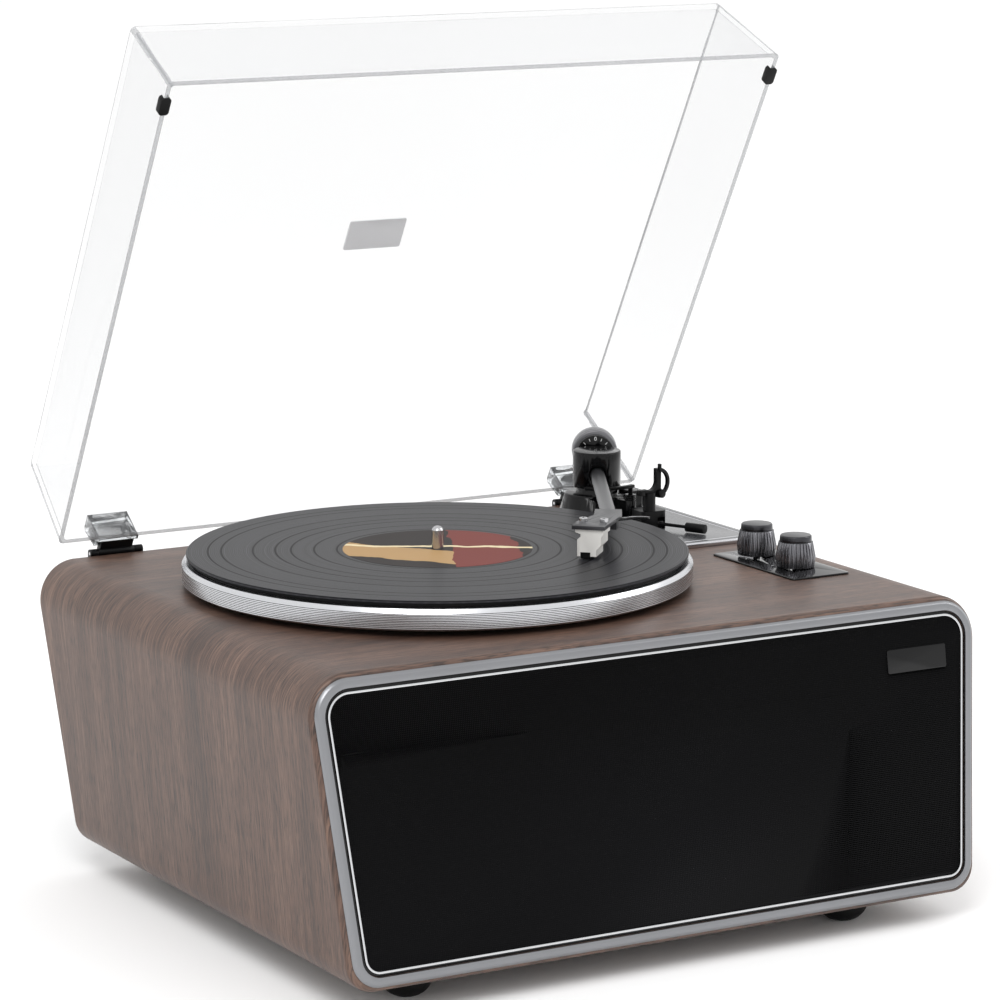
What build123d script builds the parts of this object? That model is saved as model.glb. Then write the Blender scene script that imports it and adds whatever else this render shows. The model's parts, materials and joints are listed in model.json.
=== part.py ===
from build123d import *
import math
import os

# Turntable record player with built-in speakers. Millimetres, +Z up.
# The origin is on the floor, at the centre of the bottom of the whole object with its cover open.
# +X is to the right and -Y is towards the listener.

# ---- Driving dimensions ----

# Cabinet
cabinet_width = 449.5  # across the deck, before the corners are rounded
cabinet_depth = 361.5
cabinet_height = 175
side_taper_deg = 4.9  # each side leans inwards going down
body_lean_deg = 8.5  # front and back both lean forwards going down
wrap_wall = 15
top_corner_radius = 25
bottom_corner_radius = 16
wood_edge_radius = 3.2

# Feet
foot_height = 17
foot_radius = 15.6
foot_inset_x = 61.5
foot_inset_y = 39
foot_shift_x = -6.9  # the four feet sit a little left of the cabinet's middle

# Front
trim_margin = 2.6  # wood left showing round the trim
trim_width = 5.7
trim_proud = 2.3
trim_chamfer = 1.7
trim_top_radius = 21
trim_bottom_radius = 17
bead_width = 1.3
grille_gap = 1.9
grille_recess = 1
frame_thickness = 8
frame_rim = 12
cloth_thickness = 0.8
baffle_thickness = 12
woofer_radius = 50
woofer_spacing = 250
woofer_height = 80
tweeter_radius = 20
tweeter_spacing = 90
plate_width = 42
plate_height = 14
plate_from_right = 14.5
plate_from_top = 19

# Rear panel
rear_recess = 9
rear_thickness = 9
rear_screw_radius = 3.2
port_radius = 24
port_length = 70

# Platter and record
spindle_offset_x = -38.9  # the platter sits left of the cabinet's centre
spindle_from_front = 183
deck_gap = 4
platter_radius = 153.4
platter_height = 12.5
platter_rim = 14
platter_ledge = (1.8, 2.6)  # the bevel round the top edge, across and down
drive_ring_radius = 92
record_radius = 150.8
record_thickness = 2
mat_radius = 146
mat_thickness = 2.5
label_radius = 57
label_thickness = 0.2
spindle_radius = 3.55
spindle_rise = 14
running_clearance = 0.05
bearing_radius = 10
motor_radius = 17
pulley_radius = 6
belt_thickness = 0.8
belt_width = 4
belt_clearance = 0.3

# Tonearm
pivot_from_spindle = (182.7, 116)
tube_length = 173  # pivot to the back of the headshell
tube_radius = 4.6
tube_angle_deg = 28.85  # inwards from straight ahead, with the stylus on the record
tube_rise_deg = 1.3
pitch_axis_height = 11.6  # above the record
stub_axis_height = 20.1
stub_radius = 3
turret_radius = 15.5
turret_wall = 1.8
turret_bottom = 3
turret_top = 26.3
shell_offset_deg = 15.9
shell_reach = 53.5  # back of the headshell to the stylus
shell_top = 20.4
shell_thickness = 2.2
base_bottom_radius = 25
base_top_radius = 20.8
weight_radius = 14.7
weight_start = 24.8
weight_length = 15
dial_radius = 12.3
dial_length = 5.5
parked_angle_deg = -9.9
rest_distance = 50.8
lift_distance = 29
lift_gap = 0.6

# Deck plates and knobs
arm_plate_thickness = 3.3
control_plate_thickness = 1.2
knob_radius = 12.3
knob_top_radius = 9.9
knob_height = 19.5
knob_flutes = 30
knob_positions = ((209.6, -30.3), (209.7, -73))  # from the spindle

# Dust cover
cover_width = 418.5
cover_length = 340.8
cover_height = 66.4
cover_wall = 3
cover_side_draft = 5.1
cover_front_draft = 5.1
cover_rear_draft = 8.4
cover_open_deg = 60.6
cover_rim_gap = 1.2  # between the closed rim and the deck
hinge_spacing = 336
hinge_behind_deck = 1.9
hinge_above_deck = 1.1
knuckle_radius = 2.6
hinge_pin_radius = 1.0
hinge_width = 35.6
knuckle_width = 5.5
socket_width = 27
socket_depth = 8.6
socket_height = 21

# ---- Derived places ----

lean = math.tan(math.radians(body_lean_deg))
taper = math.tan(math.radians(side_taper_deg))
open_angle = math.radians(cover_open_deg)
deck_z = foot_height + cabinet_height
floor_z = foot_height  # the cabinet's underside
platter_z = deck_z + deck_gap
platter_top = platter_z + platter_height
mat_top = platter_top + mat_thickness
record_top = mat_top + record_thickness

# The open cover reaches furthest back and the foot of the trim reaches furthest forward.
cover_behind_rim = 8.8  # from the shut cover's rear rim to the deck's rear edge
axis_to_rim = cover_behind_rim + hinge_behind_deck
rim_above_axis = cover_rim_gap - hinge_above_deck
open_rear_reach = (
    hinge_behind_deck
    - (axis_to_rim + cover_rear_draft) * math.cos(open_angle)
    + (rim_above_axis + cover_height) * math.sin(open_angle)
)
trim_foot_reach = trim_proud + (cabinet_height - trim_margin) * lean
deck_front_y = trim_foot_reach - (trim_foot_reach + cabinet_depth + open_rear_reach) / 2
deck_rear_y = deck_front_y + cabinet_depth
spindle_x = spindle_offset_x
spindle_y = deck_front_y + spindle_from_front


def front_y(z):
    """Y of the wood's leaning front plane at height z."""
    return deck_front_y - (deck_z - z) * lean


def rear_y(z):
    """Y of the wood's leaning rear plane at height z."""
    return deck_rear_y - (deck_z - z) * lean


slope = math.hypot(1, lean)  # length along the leaning plane for each unit of height


def cabinet_outline(inset, top_radius, bottom_radius, stretch):
    """The cabinet's outline inset all round, with y = 0 at the deck."""
    top_half = cabinet_width / 2 - inset * (1 + taper)
    bottom_half = cabinet_width / 2 - inset - (cabinet_height - inset) * taper
    top = -inset * stretch
    bottom = -(cabinet_height - inset) * stretch
    with BuildSketch() as outline:
        with BuildLine():
            Polyline(
                (-top_half, top),
                (top_half, top),
                (bottom_half, bottom),
                (-bottom_half, bottom),
                close=True,
            )
        make_face()
        fillet(outline.vertices().group_by(Axis.Y)[-1], top_radius)
        fillet(outline.vertices().group_by(Axis.Y)[0], bottom_radius)
    return outline.sketch


def front_at(depth):
    """The leaning front plane, moved back by depth; local y runs up the slope."""
    return Plane(origin=(0, deck_front_y + depth, deck_z), x_dir=(1, 0, 0), z_dir=(0, -1, lean))


def rear_at(depth):
    """The leaning rear plane, moved forward by depth, facing backwards."""
    return Plane(origin=(0, deck_rear_y - depth, deck_z), x_dir=(-1, 0, 0), z_dir=(0, 1, -lean))


def from_spindle(x, y, height):
    """A point given from the spindle's axis and the top of the record."""
    return (spindle_x + x, spindle_y + y, record_top + height)


def level(x, y, height):
    """A horizontal plane at a place given from the spindle and the record's top."""
    return Plane(origin=from_spindle(x, y, height))


def dome_middle(base_radius, rise):
    """The middle of a dome's arc, from its rim at (base_radius, 0) to its top at (0, rise)."""
    sphere = (base_radius**2 + rise**2) / (2 * rise)
    half_angle = math.asin(base_radius / sphere) / 2
    return (sphere * math.sin(half_angle), rise - sphere * (1 - math.cos(half_angle)))


def export(piece, name):
    piece.part.label = name
    export_step(piece.part, f"parts/{name}.step")


os.makedirs("parts", exist_ok=True)
backwards = (0, 1, 0)
forwards = (0, -1, 0)
facing_front = Axis((0, 0, 0), (0, -1, lean))

# ---- Cabinet ----

bearing_place = (spindle_x, spindle_y)
motor_angle = math.radians(150)
motor_distance = drive_ring_radius + motor_radius + 9
motor_place = (
    spindle_x + motor_distance * math.cos(motor_angle),
    spindle_y + motor_distance * math.sin(motor_angle),
)
pulley_hole_radius = pulley_radius + 4
knob_places = [(spindle_x + x, spindle_y + y) for x, y in knob_positions]
potentiometer_hole_radius = 3.6
pivot_place = (spindle_x + pivot_from_spindle[0], spindle_y + pivot_from_spindle[1])
foot_front_y = front_y(floor_z) + foot_inset_y
foot_rear_y = rear_y(floor_z) - foot_inset_y
foot_half_x = cabinet_width / 2 - cabinet_height * taper - foot_inset_x
foot_places = [(foot_shift_x + x, y) for x in (-foot_half_x, foot_half_x) for y in (foot_front_y, foot_rear_y)]
foot_hole_radius = 2
foot_hole_depth = 6

with BuildPart() as cabinet_wrap:
    with BuildSketch(Plane.XZ.offset(-cabinet_depth)):
        with Locations((0, deck_z)):
            add(cabinet_outline(0, top_corner_radius, bottom_corner_radius, 1))
    extrude(amount=2 * cabinet_depth)
    with BuildSketch(Plane.XZ.offset(-cabinet_depth)):
        with Locations((0, deck_z)):
            add(cabinet_outline(wrap_wall, top_corner_radius - wrap_wall, 4, 1))
    extrude(amount=2 * cabinet_depth, mode=Mode.SUBTRACT)
    split(bisect_by=front_at(0), keep=Keep.BOTTOM)
    split(bisect_by=rear_at(0), keep=Keep.BOTTOM)
    front_face = cabinet_wrap.faces().sort_by(facing_front)[-1]
    fillet(front_face.outer_wire().edges(), wood_edge_radius)
    rear_face = cabinet_wrap.faces().sort_by(facing_front)[0]
    fillet(rear_face.outer_wire().edges(), wood_edge_radius / 2)
    with BuildSketch(Plane.XY.offset(deck_z)):
        with Locations(bearing_place):
            Circle(bearing_radius)
        with Locations(motor_place):
            Circle(pulley_hole_radius)
        with Locations(*knob_places):
            Circle(potentiometer_hole_radius)
    extrude(amount=-1.5 * wrap_wall, mode=Mode.SUBTRACT)
export(cabinet_wrap, "cabinet_wrap")

with BuildPart() as feet:
    for x, y in foot_places:
        with BuildSketch(Plane(origin=(x, y, 0), x_dir=(1, 0, 0), z_dir=(0, -1, 0))):
            with BuildLine():
                Line((0, foot_height), (foot_radius, foot_height))
                Line((foot_radius, foot_height), (foot_radius, foot_height - 3))
                ThreePointArc(
                    (foot_radius, foot_height - 3),
                    (foot_radius * 0.86, foot_height * 0.3),
                    (foot_radius * 0.45, 0),
                )
                Line((foot_radius * 0.45, 0), (foot_hole_radius, 0))
                Line((foot_hole_radius, 0), (foot_hole_radius, foot_hole_depth))
                Line((foot_hole_radius, foot_hole_depth), (0, foot_hole_depth))
                Line((0, foot_hole_depth), (0, foot_height))
            make_face()
        revolve(axis=Axis((x, y, 0), (0, 0, 1)))
export(feet, "feet")

# ---- Speaker front ----

fit_gap = 0.3
trim_inner = trim_margin + trim_width
bead_outer = trim_inner + grille_gap
flange_outer = trim_inner + fit_gap
flange_thickness = 0.5
cloth_outer = bead_outer + bead_width
grille_top_radius = trim_top_radius - trim_width - grille_gap
grille_bottom_radius = trim_bottom_radius - trim_width - grille_gap
board_inset = wrap_wall + fit_gap
frame_opening = bead_outer + frame_rim
baffle_depth = frame_thickness + 3

with BuildPart() as front_trim:
    with BuildSketch(front_at(0)):
        add(cabinet_outline(trim_margin, trim_top_radius, trim_bottom_radius, slope))
        add(
            cabinet_outline(trim_inner, trim_top_radius - trim_width, trim_bottom_radius - trim_width, slope),
            mode=Mode.SUBTRACT,
        )
    extrude(amount=trim_proud)
    outer_face = front_trim.faces().sort_by(facing_front)[-1]
    chamfer(outer_face.outer_wire().edges(), trim_chamfer)
export(front_trim, "front_trim")

cloth_front = trim_proud - grille_recess
with BuildPart() as grille_frame:
    with BuildSketch(front_at(0)):
        add(cabinet_outline(bead_outer, grille_top_radius, grille_bottom_radius, slope))
        add(cabinet_outline(frame_opening, 4, 4, slope), mode=Mode.SUBTRACT)
    extrude(amount=cloth_front - cloth_thickness)
    with BuildSketch(front_at(0)):
        add(cabinet_outline(flange_outer, trim_top_radius - trim_width, trim_bottom_radius - trim_width, slope))
        add(cabinet_outline(frame_opening, 4, 4, slope), mode=Mode.SUBTRACT)
    extrude(amount=flange_thickness)
    with BuildSketch(front_at(0)):
        add(cabinet_outline(bead_outer, grille_top_radius, grille_bottom_radius, slope))
        add(cabinet_outline(cloth_outer, grille_top_radius - bead_width, grille_bottom_radius - bead_width, slope),
            mode=Mode.SUBTRACT)
    extrude(amount=cloth_front + 0.6)
    with BuildSketch(front_at(0)):
        add(cabinet_outline(board_inset, top_corner_radius - wrap_wall, 5, slope))
        add(cabinet_outline(frame_opening, 4, 4, slope), mode=Mode.SUBTRACT)
    extrude(amount=frame_thickness, dir=backwards)
export(grille_frame, "grille_frame")

with BuildPart() as grille_cloth:
    with BuildSketch(front_at(0).offset(cloth_front - cloth_thickness)):
        add(cabinet_outline(cloth_outer, grille_top_radius - bead_width, grille_bottom_radius - bead_width, slope))
    extrude(amount=cloth_thickness)
export(grille_cloth, "grille_cloth")

plate_side_x = cabinet_width / 2 - cabinet_height * taper * 0.2 - trim_inner
plate_center_x = plate_side_x - plate_from_right - plate_width / 2
plate_center_y = -(trim_inner + plate_from_top + plate_height / 2) * slope
with BuildPart() as front_badge:
    with BuildSketch(front_at(0).offset(cloth_front)):
        with Locations((plate_center_x, plate_center_y)):
            RectangleRounded(plate_width, plate_height, 1.2)
    extrude(amount=1)
export(front_badge, "front_badge")

woofer_points = [(x, -woofer_height * slope) for x in (-woofer_spacing / 2, woofer_spacing / 2)]
tweeter_points = [(x, -woofer_height * slope) for x in (-tweeter_spacing / 2, tweeter_spacing / 2)]
woofer_cutout = woofer_radius - 5
tweeter_cutout = tweeter_radius - 4

with BuildPart() as speaker_baffle:
    with BuildSketch(front_at(baffle_depth)):
        add(cabinet_outline(board_inset, top_corner_radius - wrap_wall, 5, slope))
    extrude(amount=baffle_thickness, dir=backwards)
    with BuildSketch(front_at(baffle_depth)):
        with Locations(*woofer_points):
            Circle(woofer_cutout)
        with Locations(*tweeter_points):
            Circle(tweeter_cutout)
    extrude(amount=-2 * baffle_thickness, mode=Mode.SUBTRACT)
export(speaker_baffle, "speaker_baffle")


def driver_frame(point):
    """A plane through a driver's axis: local y points out of the front, local x to the side."""
    mouth = front_at(baffle_depth)
    outward = mouth.z_dir
    return Plane(
        origin=mouth.from_local_coords(Vector(point[0], point[1], 0)),
        x_dir=(1, 0, 0),
        z_dir=Vector(1, 0, 0).cross(outward),
    )


def driver_axis(point):
    mouth = front_at(baffle_depth)
    return Axis(mouth.from_local_coords(Vector(point[0], point[1], 0)), mouth.z_dir)


basket_depth = 30
basket_foot = 24
magnet_radius = 30
magnet_depth = 14
voice_radius = 12

with BuildPart() as woofer_frames:
    for point in woofer_points:
        with BuildSketch(driver_frame(point)):
            with BuildLine():
                Polyline(
                    (woofer_cutout - 4, 2.5),
                    (woofer_radius, 2.5),
                    (woofer_radius, 0),
                    (woofer_cutout - 1, 0),
                    (basket_foot + 2, -basket_depth),
                    (voice_radius + 2, -basket_depth),
                    (voice_radius + 2, 2 - basket_depth),
                    (basket_foot, 2 - basket_depth),
                    (woofer_cutout - 4, -1.5),
                    close=True,
                )
            make_face()
        revolve(axis=driver_axis(point))
export(woofer_frames, "woofer_frames")

with BuildPart() as woofer_magnets:
    for point in woofer_points:
        with BuildSketch(driver_frame(point)):
            with BuildLine():
                Polyline(
                    (0, -basket_depth),
                    (magnet_radius, -basket_depth),
                    (magnet_radius, -basket_depth - magnet_depth),
                    (0, -basket_depth - magnet_depth),
                    close=True,
                )
            make_face()
        revolve(axis=driver_axis(point))
export(woofer_magnets, "woofer_magnets")

cone_rim = woofer_cutout - 4
cone_neck = -2.6 - basket_depth / 2
cap_rise = 3.6
cap_top = cone_neck + cap_rise
cap_x, cap_y = dome_middle(voice_radius, cap_rise)
with BuildPart() as woofer_cones:
    for point in woofer_points:
        with BuildSketch(driver_frame(point)):
            with BuildLine():
                Line((0, cap_top), (0, cap_top - 2))
                Line((0, cap_top - 2), (voice_radius, -4 - basket_depth / 2))
                Line((voice_radius, -4 - basket_depth / 2), (cone_rim - 8, -1))
                ThreePointArc((cone_rim - 8, -1), (cone_rim - 4, 2.4), (cone_rim, -0.5))
                Line((cone_rim, -0.5), (cone_rim, 0.8))
                ThreePointArc((cone_rim, 0.8), (cone_rim - 4, 3.6), (cone_rim - 8, 0.4))
                Line((cone_rim - 8, 0.4), (voice_radius, -2.6 - basket_depth / 2))
                ThreePointArc((voice_radius, cone_neck), (cap_x, cone_neck + cap_y), (0, cap_top))
            make_face()
        revolve(axis=driver_axis(point))
export(woofer_cones, "woofer_cones")

with BuildPart() as tweeter_plates:
    for point in tweeter_points:
        with BuildSketch(driver_frame(point)):
            with BuildLine():
                Polyline(
                    (9, 2),
                    (tweeter_radius, 2),
                    (tweeter_radius, 0),
                    (tweeter_cutout - 1, 0),
                    (tweeter_cutout - 1, -16),
                    (0, -16),
                    (0, -3),
                    (9, -3),
                    close=True,
                )
            make_face()
        revolve(axis=driver_axis(point))
export(tweeter_plates, "tweeter_plates")

dome_radius = 8.5
dome_rise = 4.6
dome_x, dome_y = dome_middle(dome_radius, dome_rise)
with BuildPart() as tweeter_domes:
    for point in tweeter_points:
        with BuildSketch(driver_frame(point)):
            with BuildLine():
                Line((0, -3), (dome_radius, -3))
                ThreePointArc((dome_radius, -3), (dome_x, dome_y - 3), (0, dome_rise - 3))
                Line((0, dome_rise - 3), (0, -3))
            make_face()
        revolve(axis=driver_axis(point))
export(tweeter_domes, "tweeter_domes")

# ---- Rear panel ----

panel_middle = -cabinet_height / 2 * slope
port_point = (-120, panel_middle)
jack_points = [(110, panel_middle + 12), (126, panel_middle + 12)]
aux_point = (90, panel_middle + 12)
inlet_point = (150, panel_middle - 30)
switch_point = (110, panel_middle - 30)
jack_radius = 4.8
aux_radius = 4
inlet_radius = 5
switch_size = (13, 19)
rear_screw_half_x = cabinet_width / 2 - cabinet_height * taper / 2 - wrap_wall - 14
rear_screw_points = [
    (x, panel_middle + dy) for x in (-rear_screw_half_x, 0, rear_screw_half_x) for dy in (-62, 62)
]
rear_inner_radius = 3
screw_shank_radius = 1.6
inner_face = rear_recess + rear_thickness

with BuildPart() as rear_panel:
    with BuildSketch(rear_at(rear_recess)):
        add(cabinet_outline(board_inset, top_corner_radius - wrap_wall, 5, slope))
        with Locations(port_point):
            Circle(port_radius, mode=Mode.SUBTRACT)
        with Locations(*jack_points):
            Circle(jack_radius, mode=Mode.SUBTRACT)
        with Locations(aux_point):
            Circle(aux_radius, mode=Mode.SUBTRACT)
        with Locations(inlet_point):
            Circle(inlet_radius, mode=Mode.SUBTRACT)
        with Locations(switch_point):
            Rectangle(*switch_size, mode=Mode.SUBTRACT)
        with Locations(*rear_screw_points):
            Circle(screw_shank_radius, mode=Mode.SUBTRACT)
    extrude(amount=rear_thickness, dir=forwards)
export(rear_panel, "rear_panel")

with BuildPart() as rear_panel_screws:
    with BuildSketch(rear_at(rear_recess)):
        with Locations(*rear_screw_points):
            Circle(rear_screw_radius)
    extrude(amount=1.8)
    with BuildSketch(rear_at(rear_recess)):
        with Locations(*rear_screw_points):
            Circle(screw_shank_radius)
    extrude(amount=rear_thickness + 3, dir=forwards)
export(rear_panel_screws, "rear_panel_screws")

with BuildPart() as bass_port:
    with BuildSketch(rear_at(rear_recess)):
        with Locations(port_point):
            Circle(port_radius)
            Circle(port_radius - 2, mode=Mode.SUBTRACT)
    extrude(amount=port_length, dir=forwards)
    with BuildSketch(rear_at(rear_recess)):
        with Locations(port_point):
            Circle(port_radius + 5)
            Circle(port_radius - 2, mode=Mode.SUBTRACT)
    extrude(amount=2)
export(bass_port, "bass_port")

with BuildPart() as rca_sockets:
    with BuildSketch(rear_at(rear_recess)):
        with Locations(*jack_points):
            Circle(jack_radius)
            Circle(1.7, mode=Mode.SUBTRACT)
    extrude(amount=rear_thickness, dir=forwards)
    with BuildSketch(rear_at(rear_recess)):
        with Locations(*jack_points):
            Circle(jack_radius - 0.65)
            Circle(1.7, mode=Mode.SUBTRACT)
    extrude(amount=8)
    with BuildSketch(rear_at(rear_recess)):
        with Locations(*jack_points):
            Circle(6.5)
            Circle(jack_radius - 0.65, mode=Mode.SUBTRACT)
    extrude(amount=1)
export(rca_sockets, "rca_sockets")

with BuildPart() as aux_socket:
    with BuildSketch(rear_at(rear_recess)):
        with Locations(aux_point):
            Circle(aux_radius)
            Circle(1.8, mode=Mode.SUBTRACT)
    extrude(amount=rear_thickness + 4, dir=forwards)
    with BuildSketch(rear_at(rear_recess)):
        with Locations(aux_point):
            Circle(aux_radius + 1)
            Circle(1.8, mode=Mode.SUBTRACT)
    extrude(amount=1.5)
export(aux_socket, "aux_socket")

with BuildPart() as power_inlet:
    with BuildSketch(rear_at(rear_recess)):
        with Locations(inlet_point):
            Circle(inlet_radius)
            Circle(2.8, mode=Mode.SUBTRACT)
    extrude(amount=rear_thickness + 5, dir=forwards)
    with BuildSketch(rear_at(rear_recess)):
        with Locations(inlet_point):
            Circle(inlet_radius + 1.5)
            Circle(2.8, mode=Mode.SUBTRACT)
    extrude(amount=1.5)
    with BuildSketch(rear_at(rear_recess + rear_thickness + 5)):
        with Locations(inlet_point):
            Circle(inlet_radius)
    extrude(amount=2, dir=forwards)
    with BuildSketch(rear_at(rear_recess + rear_thickness + 5)):
        with Locations(inlet_point):
            Circle(0.9)
    extrude(amount=rear_thickness + 2, dir=backwards)
export(power_inlet, "power_inlet")

# The rocker tilts on a cross pin in its housing.
switch_wall = 1.5
rocker_gap = 1.1
rocker_pin_radius = 1
rocker_pin_depth = 5
rocker_size = (switch_size[0] - 2 * (switch_wall + rocker_gap), switch_size[1] - 2 * (switch_wall + rocker_gap))

with BuildPart() as power_switch_frame:
    with BuildSketch(rear_at(rear_recess)):
        with Locations(switch_point):
            Rectangle(*switch_size)
            Rectangle(switch_size[0] - 2 * switch_wall, switch_size[1] - 2 * switch_wall, mode=Mode.SUBTRACT)
    extrude(amount=rear_thickness, dir=forwards)
    with BuildSketch(rear_at(rear_recess)):
        with Locations(switch_point):
            Rectangle(switch_size[0] + 3, switch_size[1] + 3)
            Rectangle(switch_size[0] - 2 * switch_wall, switch_size[1] - 2 * switch_wall, mode=Mode.SUBTRACT)
    extrude(amount=1.2)
    with BuildSketch(rear_at(rear_recess + rear_thickness)):
        with Locations(switch_point):
            Rectangle(*switch_size)
    extrude(amount=6, dir=forwards)
    pin_place = rear_at(rear_recess + rocker_pin_depth).from_local_coords(Vector(*switch_point, 0))
    with BuildSketch(Plane(origin=pin_place, x_dir=(0, 1, 0), z_dir=(1, 0, 0))):
        Circle(rocker_pin_radius + running_clearance)
    extrude(amount=(switch_size[0] - 0.8) / 2, both=True, mode=Mode.SUBTRACT)
export(power_switch_frame, "power_switch_frame")

with BuildPart() as power_rocker:
    with BuildSketch(Plane(origin=pin_place, x_dir=(0, 1, 0), z_dir=(-1, 0, 0))):
        with BuildLine():
            half = rocker_size[1] / 2
            Polyline(
                (-1.6, -1.6),
                (3.4, -half + 0.6),
                (6.4, -half),
                (5, 0),
                (6.4, half),
                (3.4, half - 0.6),
                (-1.6, 1.6),
                close=True,
            )
        make_face()
    extrude(amount=rocker_size[0] / 2, both=True)
    with BuildSketch(Plane(origin=pin_place, x_dir=(0, 1, 0), z_dir=(1, 0, 0))):
        Circle(rocker_pin_radius)
    extrude(amount=(switch_size[0] - 1) / 2, both=True)
export(power_rocker, "power_rocker")

# ---- Electronics inside ----

inside_floor = floor_z + wrap_wall
board_place = (120, deck_rear_y - 100)
supply_place = (-20, deck_rear_y - 100)
standoff_height = 6

with BuildPart() as amplifier_board:
    with BuildSketch(Plane.XY.offset(inside_floor + standoff_height)):
        with Locations(board_place):
            Rectangle(100, 70)
    extrude(amount=1.6)
    with BuildSketch(Plane.XY.offset(inside_floor)):
        with Locations(board_place):
            with GridLocations(88, 58, 2, 2):
                Circle(3)
    extrude(amount=standoff_height)
    with BuildSketch(Plane.XY.offset(inside_floor + standoff_height + 1.6)):
        with Locations((board_place[0] - 30, board_place[1])):
            Rectangle(8, 50)
        with Locations((board_place[0] + 20, board_place[1] + 12)):
            Circle(8)
        with Locations((board_place[0] + 20, board_place[1] - 14)):
            Circle(8)
    extrude(amount=22)
export(amplifier_board, "amplifier_board")

with BuildPart() as power_supply:
    with BuildSketch(Plane.XY.offset(inside_floor)):
        with Locations(supply_place):
            RectangleRounded(90, 52, 4)
    extrude(amount=34)
export(power_supply, "power_supply")

# ---- Bearing, motor and belt ----

bearing_flange_radius = 17
bearing_flange = 1.5
bearing_depth = 38
shaft_bottom = deck_z - bearing_depth + 2.4
shaft_radius = spindle_radius - 0.05
pin_start = record_top + 0.3

with BuildPart() as bearing_housing:
    with BuildSketch(Plane.XY.offset(deck_z)):
        with Locations(bearing_place):
            Circle(bearing_flange_radius)
    extrude(amount=bearing_flange)
    with BuildSketch(Plane.XY.offset(deck_z)):
        with Locations(bearing_place):
            Circle(bearing_radius)
    extrude(amount=-bearing_depth)
    with BuildSketch(Plane.XY.offset(deck_z + bearing_flange)):
        with Locations(bearing_place):
            Circle(shaft_radius + running_clearance)
    extrude(amount=-(bearing_depth + bearing_flange - 2), mode=Mode.SUBTRACT)
export(bearing_housing, "bearing_housing")

shaft_tip = record_top + spindle_rise
tip_rise = 2.6
shaft_shoulder = shaft_tip - tip_rise
tip_x, tip_y = dome_middle(spindle_radius, tip_rise)

with BuildPart() as spindle_shaft:
    with BuildSketch(Plane(origin=(*bearing_place, 0), x_dir=(1, 0, 0), z_dir=(0, -1, 0))):
        with BuildLine():
            Line((0, shaft_bottom), (shaft_radius, shaft_bottom))
            Line((shaft_radius, shaft_bottom), (shaft_radius, pin_start))
            Line((shaft_radius, pin_start), (spindle_radius, pin_start))
            Line((spindle_radius, pin_start), (spindle_radius, shaft_shoulder))
            ThreePointArc((spindle_radius, shaft_shoulder), (tip_x, shaft_shoulder + tip_y), (0, shaft_tip))
            Line((0, shaft_tip), (0, shaft_bottom))
        make_face()
    revolve(axis=Axis((*bearing_place, 0), (0, 0, 1)))
export(spindle_shaft, "spindle_shaft")

rib_count = 9
rib_depth = 0.55
rib_pitch = (platter_height - 1 - platter_ledge[1]) / rib_count
platter_plate = 5
rib_bottom = platter_z + 1
rib_points = []
for index in range(rib_count):
    rib_points.append((platter_radius, rib_bottom + index * rib_pitch))
    rib_points.append((platter_radius, rib_bottom + (index + 0.62) * rib_pitch))
    rib_points.append((platter_radius - rib_depth, rib_bottom + (index + 0.72) * rib_pitch))
    rib_points.append((platter_radius - rib_depth, rib_bottom + (index + 0.9) * rib_pitch))

with BuildPart() as platter:
    with BuildSketch(Plane(origin=(*bearing_place, 0), x_dir=(1, 0, 0), z_dir=(0, -1, 0))):
        with BuildLine():
            Polyline(
                (shaft_radius, platter_top),
                (platter_radius - platter_ledge[0], platter_top),
                (platter_radius, platter_top - platter_ledge[1]),
                *reversed(rib_points),
                (platter_radius - 1, platter_z),
                (platter_radius - platter_rim, platter_z),
                (platter_radius - platter_rim, platter_top - platter_plate),
                (drive_ring_radius, platter_top - platter_plate),
                (drive_ring_radius, platter_z + 0.5),
                (drive_ring_radius - 3, platter_z + 0.5),
                (drive_ring_radius - 3, platter_top - platter_plate),
                (bearing_flange_radius, platter_top - platter_plate),
                (bearing_flange_radius, platter_z + 0.5),
                (shaft_radius, platter_z + 0.5),
                close=True,
            )
        make_face()
    revolve(axis=Axis((*bearing_place, 0), (0, 0, 1)))
export(platter, "platter")

hole_radius = spindle_radius + 0.08
with BuildPart() as platter_mat:
    with BuildSketch(Plane.XY.offset(platter_top)):
        with Locations(bearing_place):
            Circle(mat_radius)
            Circle(hole_radius, mode=Mode.SUBTRACT)
    extrude(amount=mat_thickness)
    chamfer(platter_mat.edges().group_by(Axis.Z)[-1].sort_by(SortBy.RADIUS)[-1], 0.5)
export(platter_mat, "platter_mat")

label_seat = 0.1
with BuildPart() as record:
    with BuildSketch(Plane(origin=(*bearing_place, 0), x_dir=(1, 0, 0), z_dir=(0, -1, 0))):
        with BuildLine():
            Polyline(
                (hole_radius, mat_top),
                (record_radius - 0.8, mat_top),
                (record_radius, mat_top + 0.6),
                (record_radius, record_top - 0.6),
                (record_radius - 0.8, record_top),
                (label_radius, record_top),
                (label_radius, record_top - label_seat),
                (hole_radius, record_top - label_seat),
                close=True,
            )
        make_face()
    revolve(axis=Axis((*bearing_place, 0), (0, 0, 1)))
export(record, "record")

with BuildPart() as record_label:
    with BuildSketch(Plane.XY.offset(record_top - label_seat)):
        with Locations(bearing_place):
            Circle(label_radius)
            Circle(hole_radius, mode=Mode.SUBTRACT)
    extrude(amount=label_thickness)
export(record_label, "record_label")

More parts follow.
